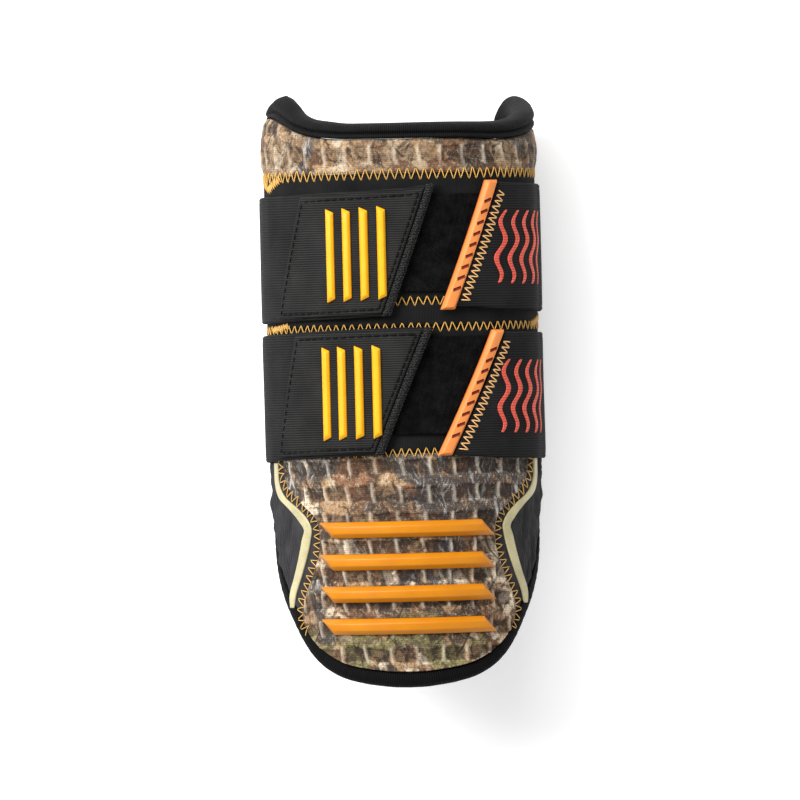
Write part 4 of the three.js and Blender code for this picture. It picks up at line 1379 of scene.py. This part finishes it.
def cut_notches(bar, length):
    """Carves the grip notches and returns the faces that line them."""
    cutters = []
    for x in np.linspace(-0.34, 0.34, NOTCHES) * length:
        bpy.ops.object.select_all(action="DESELECT")
        bpy.ops.mesh.primitive_cylinder_add(
            vertices=16, radius=NOTCH_RADIUS, depth=NOTCH_LENGTH,
            location=(x, NOTCH_ROW, TAB["height"]), rotation=(math.pi / 2, 0, math.radians(24)))
        cutters.append(bpy.context.object)
    for cutter in cutters:
        cutter.select_set(True)
    bpy.context.view_layer.objects.active = cutters[0]
    bpy.ops.object.join()
    notches = bpy.context.object
    cut = bar.modifiers.new("notches", "BOOLEAN")
    cut.operation, cut.solver, cut.object = "DIFFERENCE", "EXACT", notches
    apply_all(bar)
    bpy.data.objects.remove(notches)
    return [face.index for face in bar.data.polygons
            if abs(face.center.y - NOTCH_ROW) < 1.6 and 2.3 < face.center.z < TAB["height"] - 0.03
            and abs(face.center.x) < 0.4 * length]


def pull_tab(strap):
    foot, head = STRAPS[strap]["tab"]
    half = TAB["width"] / 2 / DEGREE
    shift = half + 0.4 / DEGREE
    reach = STRAP_WIDTH / 2 + TAB_OVERHANG
    low = float(strap_middle(strap, foot - shift - half)) - reach
    high = float(strap_middle(strap, head - shift - half)) + reach
    length = high - low
    bar = rubber_bar(f"{strap}_moulded_pull_tab", length, **TAB)
    carved = cut_notches(bar, length)

    def at(x, y, z):
        share = x / length + 0.5
        angle = mix(foot, head, share) - shift - y / DEGREE
        return angle, mix(low, high, share), BAND_HIGH - 0.1 + z

    piece = bend_onto(bar, at)
    print(piece.name, len(piece.data.polygons), "faces,", round(length, 1), "mm long")
    dress(piece, tab_rubber, "tab_rubber", f"{strap}_pull_tab")
    piece.data.materials.append(notch_red)
    for index in carved:
        piece.data.polygons[index].material_index = 1


for strap in STRAPS:
    pull_tab(strap)

# %% [markdown]
# ## Zigzag seams
# Golden thread joins the covers in a zigzag, which can stretch with the cloth. A real stitch rises
# out of a needle hole, crosses the seam and sinks into the next hole. So the thread is a thin tube
# that follows a triangle wave across the seam, high in the middle of each leg and sunk at its tips.
# No two stitches are quite alike, so each tip is moved a little.

# %% A thread along a path on the guard
THREAD_SIDES = 6
POINTS_A_LEG = 5


def unit(vectors):
    return vectors / np.linalg.norm(vectors, axis=1, keepdims=True)


def thread(name, angle, along, lift, radius, finish, slot):
    last = len(angle) - 1
    path = place(angle, along, lift)
    tangent = unit(np.gradient(path, axis=0))
    across = unit(np.cross(tangent, place(angle, along, lift + 1.0) - path))
    up = np.cross(across, tangent)
    run = np.concatenate([[0], np.cumsum(np.linalg.norm(np.diff(path, axis=0), axis=1))])

    def at(u, v):
        i = np.rint(v * last).astype(int)
        turn = (TURN * np.rint(u * THREAD_SIDES) / THREAD_SIDES)[:, None]
        size = radius * np.where((i == 0) | (i == last), 0, 1)[:, None]
        ring = across[i] * np.cos(turn) + up[i] * np.sin(turn)
        return path[i] + ring * size, np.stack([u * TURN * radius, run[i]], -1)

    return dress(roll(name, THREAD_SIDES, last, at), finish, slot)


def zigzag_path(angle, along, pitch, width, lift, seed, radius):
    run = path_run(angle, along)

    def spot(s):
        s = np.clip(s, 0, run[-1])
        return np.interp(s, run, angle), np.interp(s, run, along)

    half = pitch / 2
    legs = max(int(round(run[-1] / half)), 2)
    tips, index = np.random.default_rng(seed), np.arange(legs + 1)
    side = np.where(index % 2 == 0, 1, -1) * tips.uniform(0.86, 1.08, legs + 1)
    hole = index * half + tips.uniform(-0.14, 0.14, legs + 1) * half
    at = np.arange(legs * POINTS_A_LEG + 1) / POINTS_A_LEG
    leg = np.minimum(at.astype(int), legs - 1)
    t = at - leg
    off = mix(side[leg], side[leg + 1], t) * width / 2
    s = np.clip(mix(hole[leg], hole[leg + 1], t) * run[-1] / (legs * half), 0, run[-1])
    (a, b), near, back = spot(s), spot(s + 1), spot(s - 1)
    scale = per_degree(a, b)
    x, y = (near[0] - back[0]) * scale, near[1] - back[1]
    length = np.hypot(x, y)
    a, b = a - y / length * off / scale, b + x / length * off
    sunk = np.clip(1 - 4 * t * (1 - t), 0, 1) ** 3
    base = lift(a, b) if callable(lift) else lift
    return a, b, base + radius * (0.9 - sunk * 2.2)


# %% Thread finish
def thread_finish(name, dark, light, gloss=0.5):
    """Twisted shiny thread: fine slanted plies and a soft highlight."""
    yarn = Finish(name, 0.5, gloss)
    round_way, long_way, where = yarn.flat()
    plies = (round_way * 4.4 + long_way * 9.0).ridges()
    tone = (plies * 0.6 + yarn.noise(where, 8.0, 2.0) * 0.6 - 0.1).ramp(0.1, 0.9)
    return yarn.finished(plies, 0.05, tone, dark, light)


gold_thread = thread_finish("golden_zigzag_thread", (0.40, 0.19, 0.018), (0.76, 0.45, 0.10))
cream_thread = thread_finish("cream_orange_thread", (0.66, 0.32, 0.10), (0.93, 0.60, 0.27))
black_thread = thread_finish("black_thread", grey(0.001), grey(0.005), 0.1)


# %% Seams and dense bar tacks where seams end
def sew(name, angle, along, pitch, width, lift, seed, radius, finish=gold_thread):
    path = zigzag_path(angle, along, pitch, width, lift, seed, radius)
    return thread(name, *path, radius, finish, "tab_rubber")


for name, along, seed, width in (
        ("zigzag_under_upper_cover", WINDOW_HEAD, 3, 5.2),
        ("zigzag_over_flexing_strip", FLEX_HEAD, 4, 4.2),
        ("zigzag_under_flexing_strip", FLEX_FOOT, 5, 4.2), ("zigzag_over_shell", 0.0, 6, 4.2)):
    stop = float(rear_stop(along)) - 1.0
    angle = np.linspace(-stop, stop, 400)
    sew(name, angle, along + 0 * angle, 3.4, width, COVER_TOP - 0.05, seed, 0.21)

# Each tack is a short run of close stitches between two places, an angle and a distance along.
for name, start, end, seed, pitch, width in (
        ("left_top_tack", (-61, 114.0), (-74, 109.5), 21, 1.5, 4.0),
        ("left_top_tack_back", (-74, 109.5), (-87, 114.5), 22, 1.5, 4.0),
        ("left_strip_tack", (-57, 53.2), (-72, 51.4), 23, 1.3, 3.0),
        ("right_strip_tack", (71, 52.0), (93, 55.6), 24, 1.4, 3.0)):
    share = np.linspace(0, 1, 60)
    angle, along = (mix(first, last, share) for first, last in zip(start, end))
    sew(name, angle, along, pitch, width, COVER_TOP + 0.1, seed, 0.22)

# %% Zigzags down the hourglass and beside the pull tabs
for side, sign in SIDES:
    angle, along = shell_border(np.linspace(0.03, 0.985, 300))
    sew(f"{side}_hourglass_zigzag", sign * (angle + 1.0 / DEGREE), along, 3.6, 5.0,
        COVER_TOP + 0.15, 8 + sign, 0.2)

for strap in STRAPS:
    share = np.linspace(0.04, 0.93, 200)
    angle = slanted(strap, "tab", 2.6 / DEGREE)(share)
    sew(f"{strap}_tab_zigzag", angle, strap_along(strap, angle, share), 2.55, 4.1,
        over_band(0.02), 12, 0.26, cream_thread)

# %% [markdown]
# ## Running stitches on the strap ends
# Black thread holds the doubled panel: a row inside its top edge, one inside its bottom edge, one
# beside the slanted tape, and a slanted row where the panel ends. A running stitch is one thread
# that rises and sinks, so the tube dips below the cloth between two stitches.

# %% Running stitch
STITCH_PITCH, STITCH_RADIUS = 3.2, 0.33
STITCH_INSET = 3.0 / STRAP_WIDTH


def running_stitch(name, strap, angle, share):
    along = strap_along(strap, angle, share)
    run = path_run(angle, along)
    s = np.linspace(0, run[-1], int(run[-1] / STITCH_PITCH * 10))
    a, b = np.interp(s, run, angle), np.interp(s, run, along)
    rise = np.clip(np.sin(TURN * s / STITCH_PITCH) * 2.5 + 0.8, -1, 1)
    lift = over_band(1.32)(a) + STITCH_RADIUS * rise
    return thread(name, a, b, lift, STITCH_RADIUS, black_thread, "elastic")


for strap in STRAPS:
    left, right = slanted(strap, "seam"), tape_left(strap)
    for name, share in (("head", 1 - STITCH_INSET), ("foot", STITCH_INSET)):
        angle = np.linspace(left(share) + 3.0, right(share) - 1.8, 200)
        running_stitch(f"{strap}_{name}_stitch", strap, angle, share)
    share = np.linspace(0.06, 0.94, 120)
    for name, angle in (("tape", right(share) - 1.9), ("seam", left(share) + 2.2)):
        running_stitch(f"{strap}_{name}_stitch", strap, angle, share)

# %% [markdown]
# ## Wavy lines printed on the bands
# The outer right side of each band carries a block of five coral waves in thick rubber print. It
# is a raised film, so each wave is a thin narrow sheet, wrapped on top of the band.

# %% Coral waves
WAVE_COUNT, FIRST_WAVE, WAVE_PITCH = 5, 44.5, 7.4
WAVE_HALF, WAVE_SWING, WAVE_SLANT = 1.25, 1.9, 5


def print_finish():
    ink = Finish("coral_rubber_print", 0.6, 0.35)
    across, along, where = ink.flat()
    ribs, worn = (along * (TURN / 1.1)).ridges(), ink.noise(where, 1.4, 4.0, 0.7)
    tone = (ribs * 0.4 + worn * 0.8).ramp(0.2, 0.9)
    dark, light = (0.36, 0.035, 0.022), (0.74, 0.105, 0.062)
    return ink.finished(ribs * 0.7 + worn * 0.4, 0.1, tone, dark, light)


def wave_pattern(strap, centre):
    def pattern(u, v):
        half = WAVE_HALF * (0.35 + 0.65 * np.sin(math.pi * v) ** 0.4)
        swing = WAVE_SWING * np.sin(v * 2 * TURN + 0.4)
        angle = centre + (v - 0.5) * WAVE_SLANT + swing + mix(-half, half, u)
        return angle, strap_along(strap, angle, mix(0.20, 0.78, v))

    return pattern


coral = print_finish()
for strap in STRAPS:
    for index in range(WAVE_COUNT):
        wave = flat_sheet(f"{strap}_coral_wave_{index + 1}", 6, 60)
        wrap(wave, wave_pattern(strap, FIRST_WAVE + index * WAVE_PITCH), over_band(0.30),
             over_band(-0.35))
        dress(wave, coral, "orange_rubber")
print("coral waves:", WAVE_COUNT, "on each band")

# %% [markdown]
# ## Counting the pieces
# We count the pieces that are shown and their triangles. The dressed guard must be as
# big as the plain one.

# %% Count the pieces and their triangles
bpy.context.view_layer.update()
shown = [thing for thing in bpy.data.objects
         if thing.type == "MESH" and thing.data.uv_layers and thing != floor]
triangles = [sum(len(face.vertices) - 2 for face in thing.data.polygons) for thing in shown]
print("pieces:", len(shown), " triangles:", sum(triangles), " most:", max(triangles))
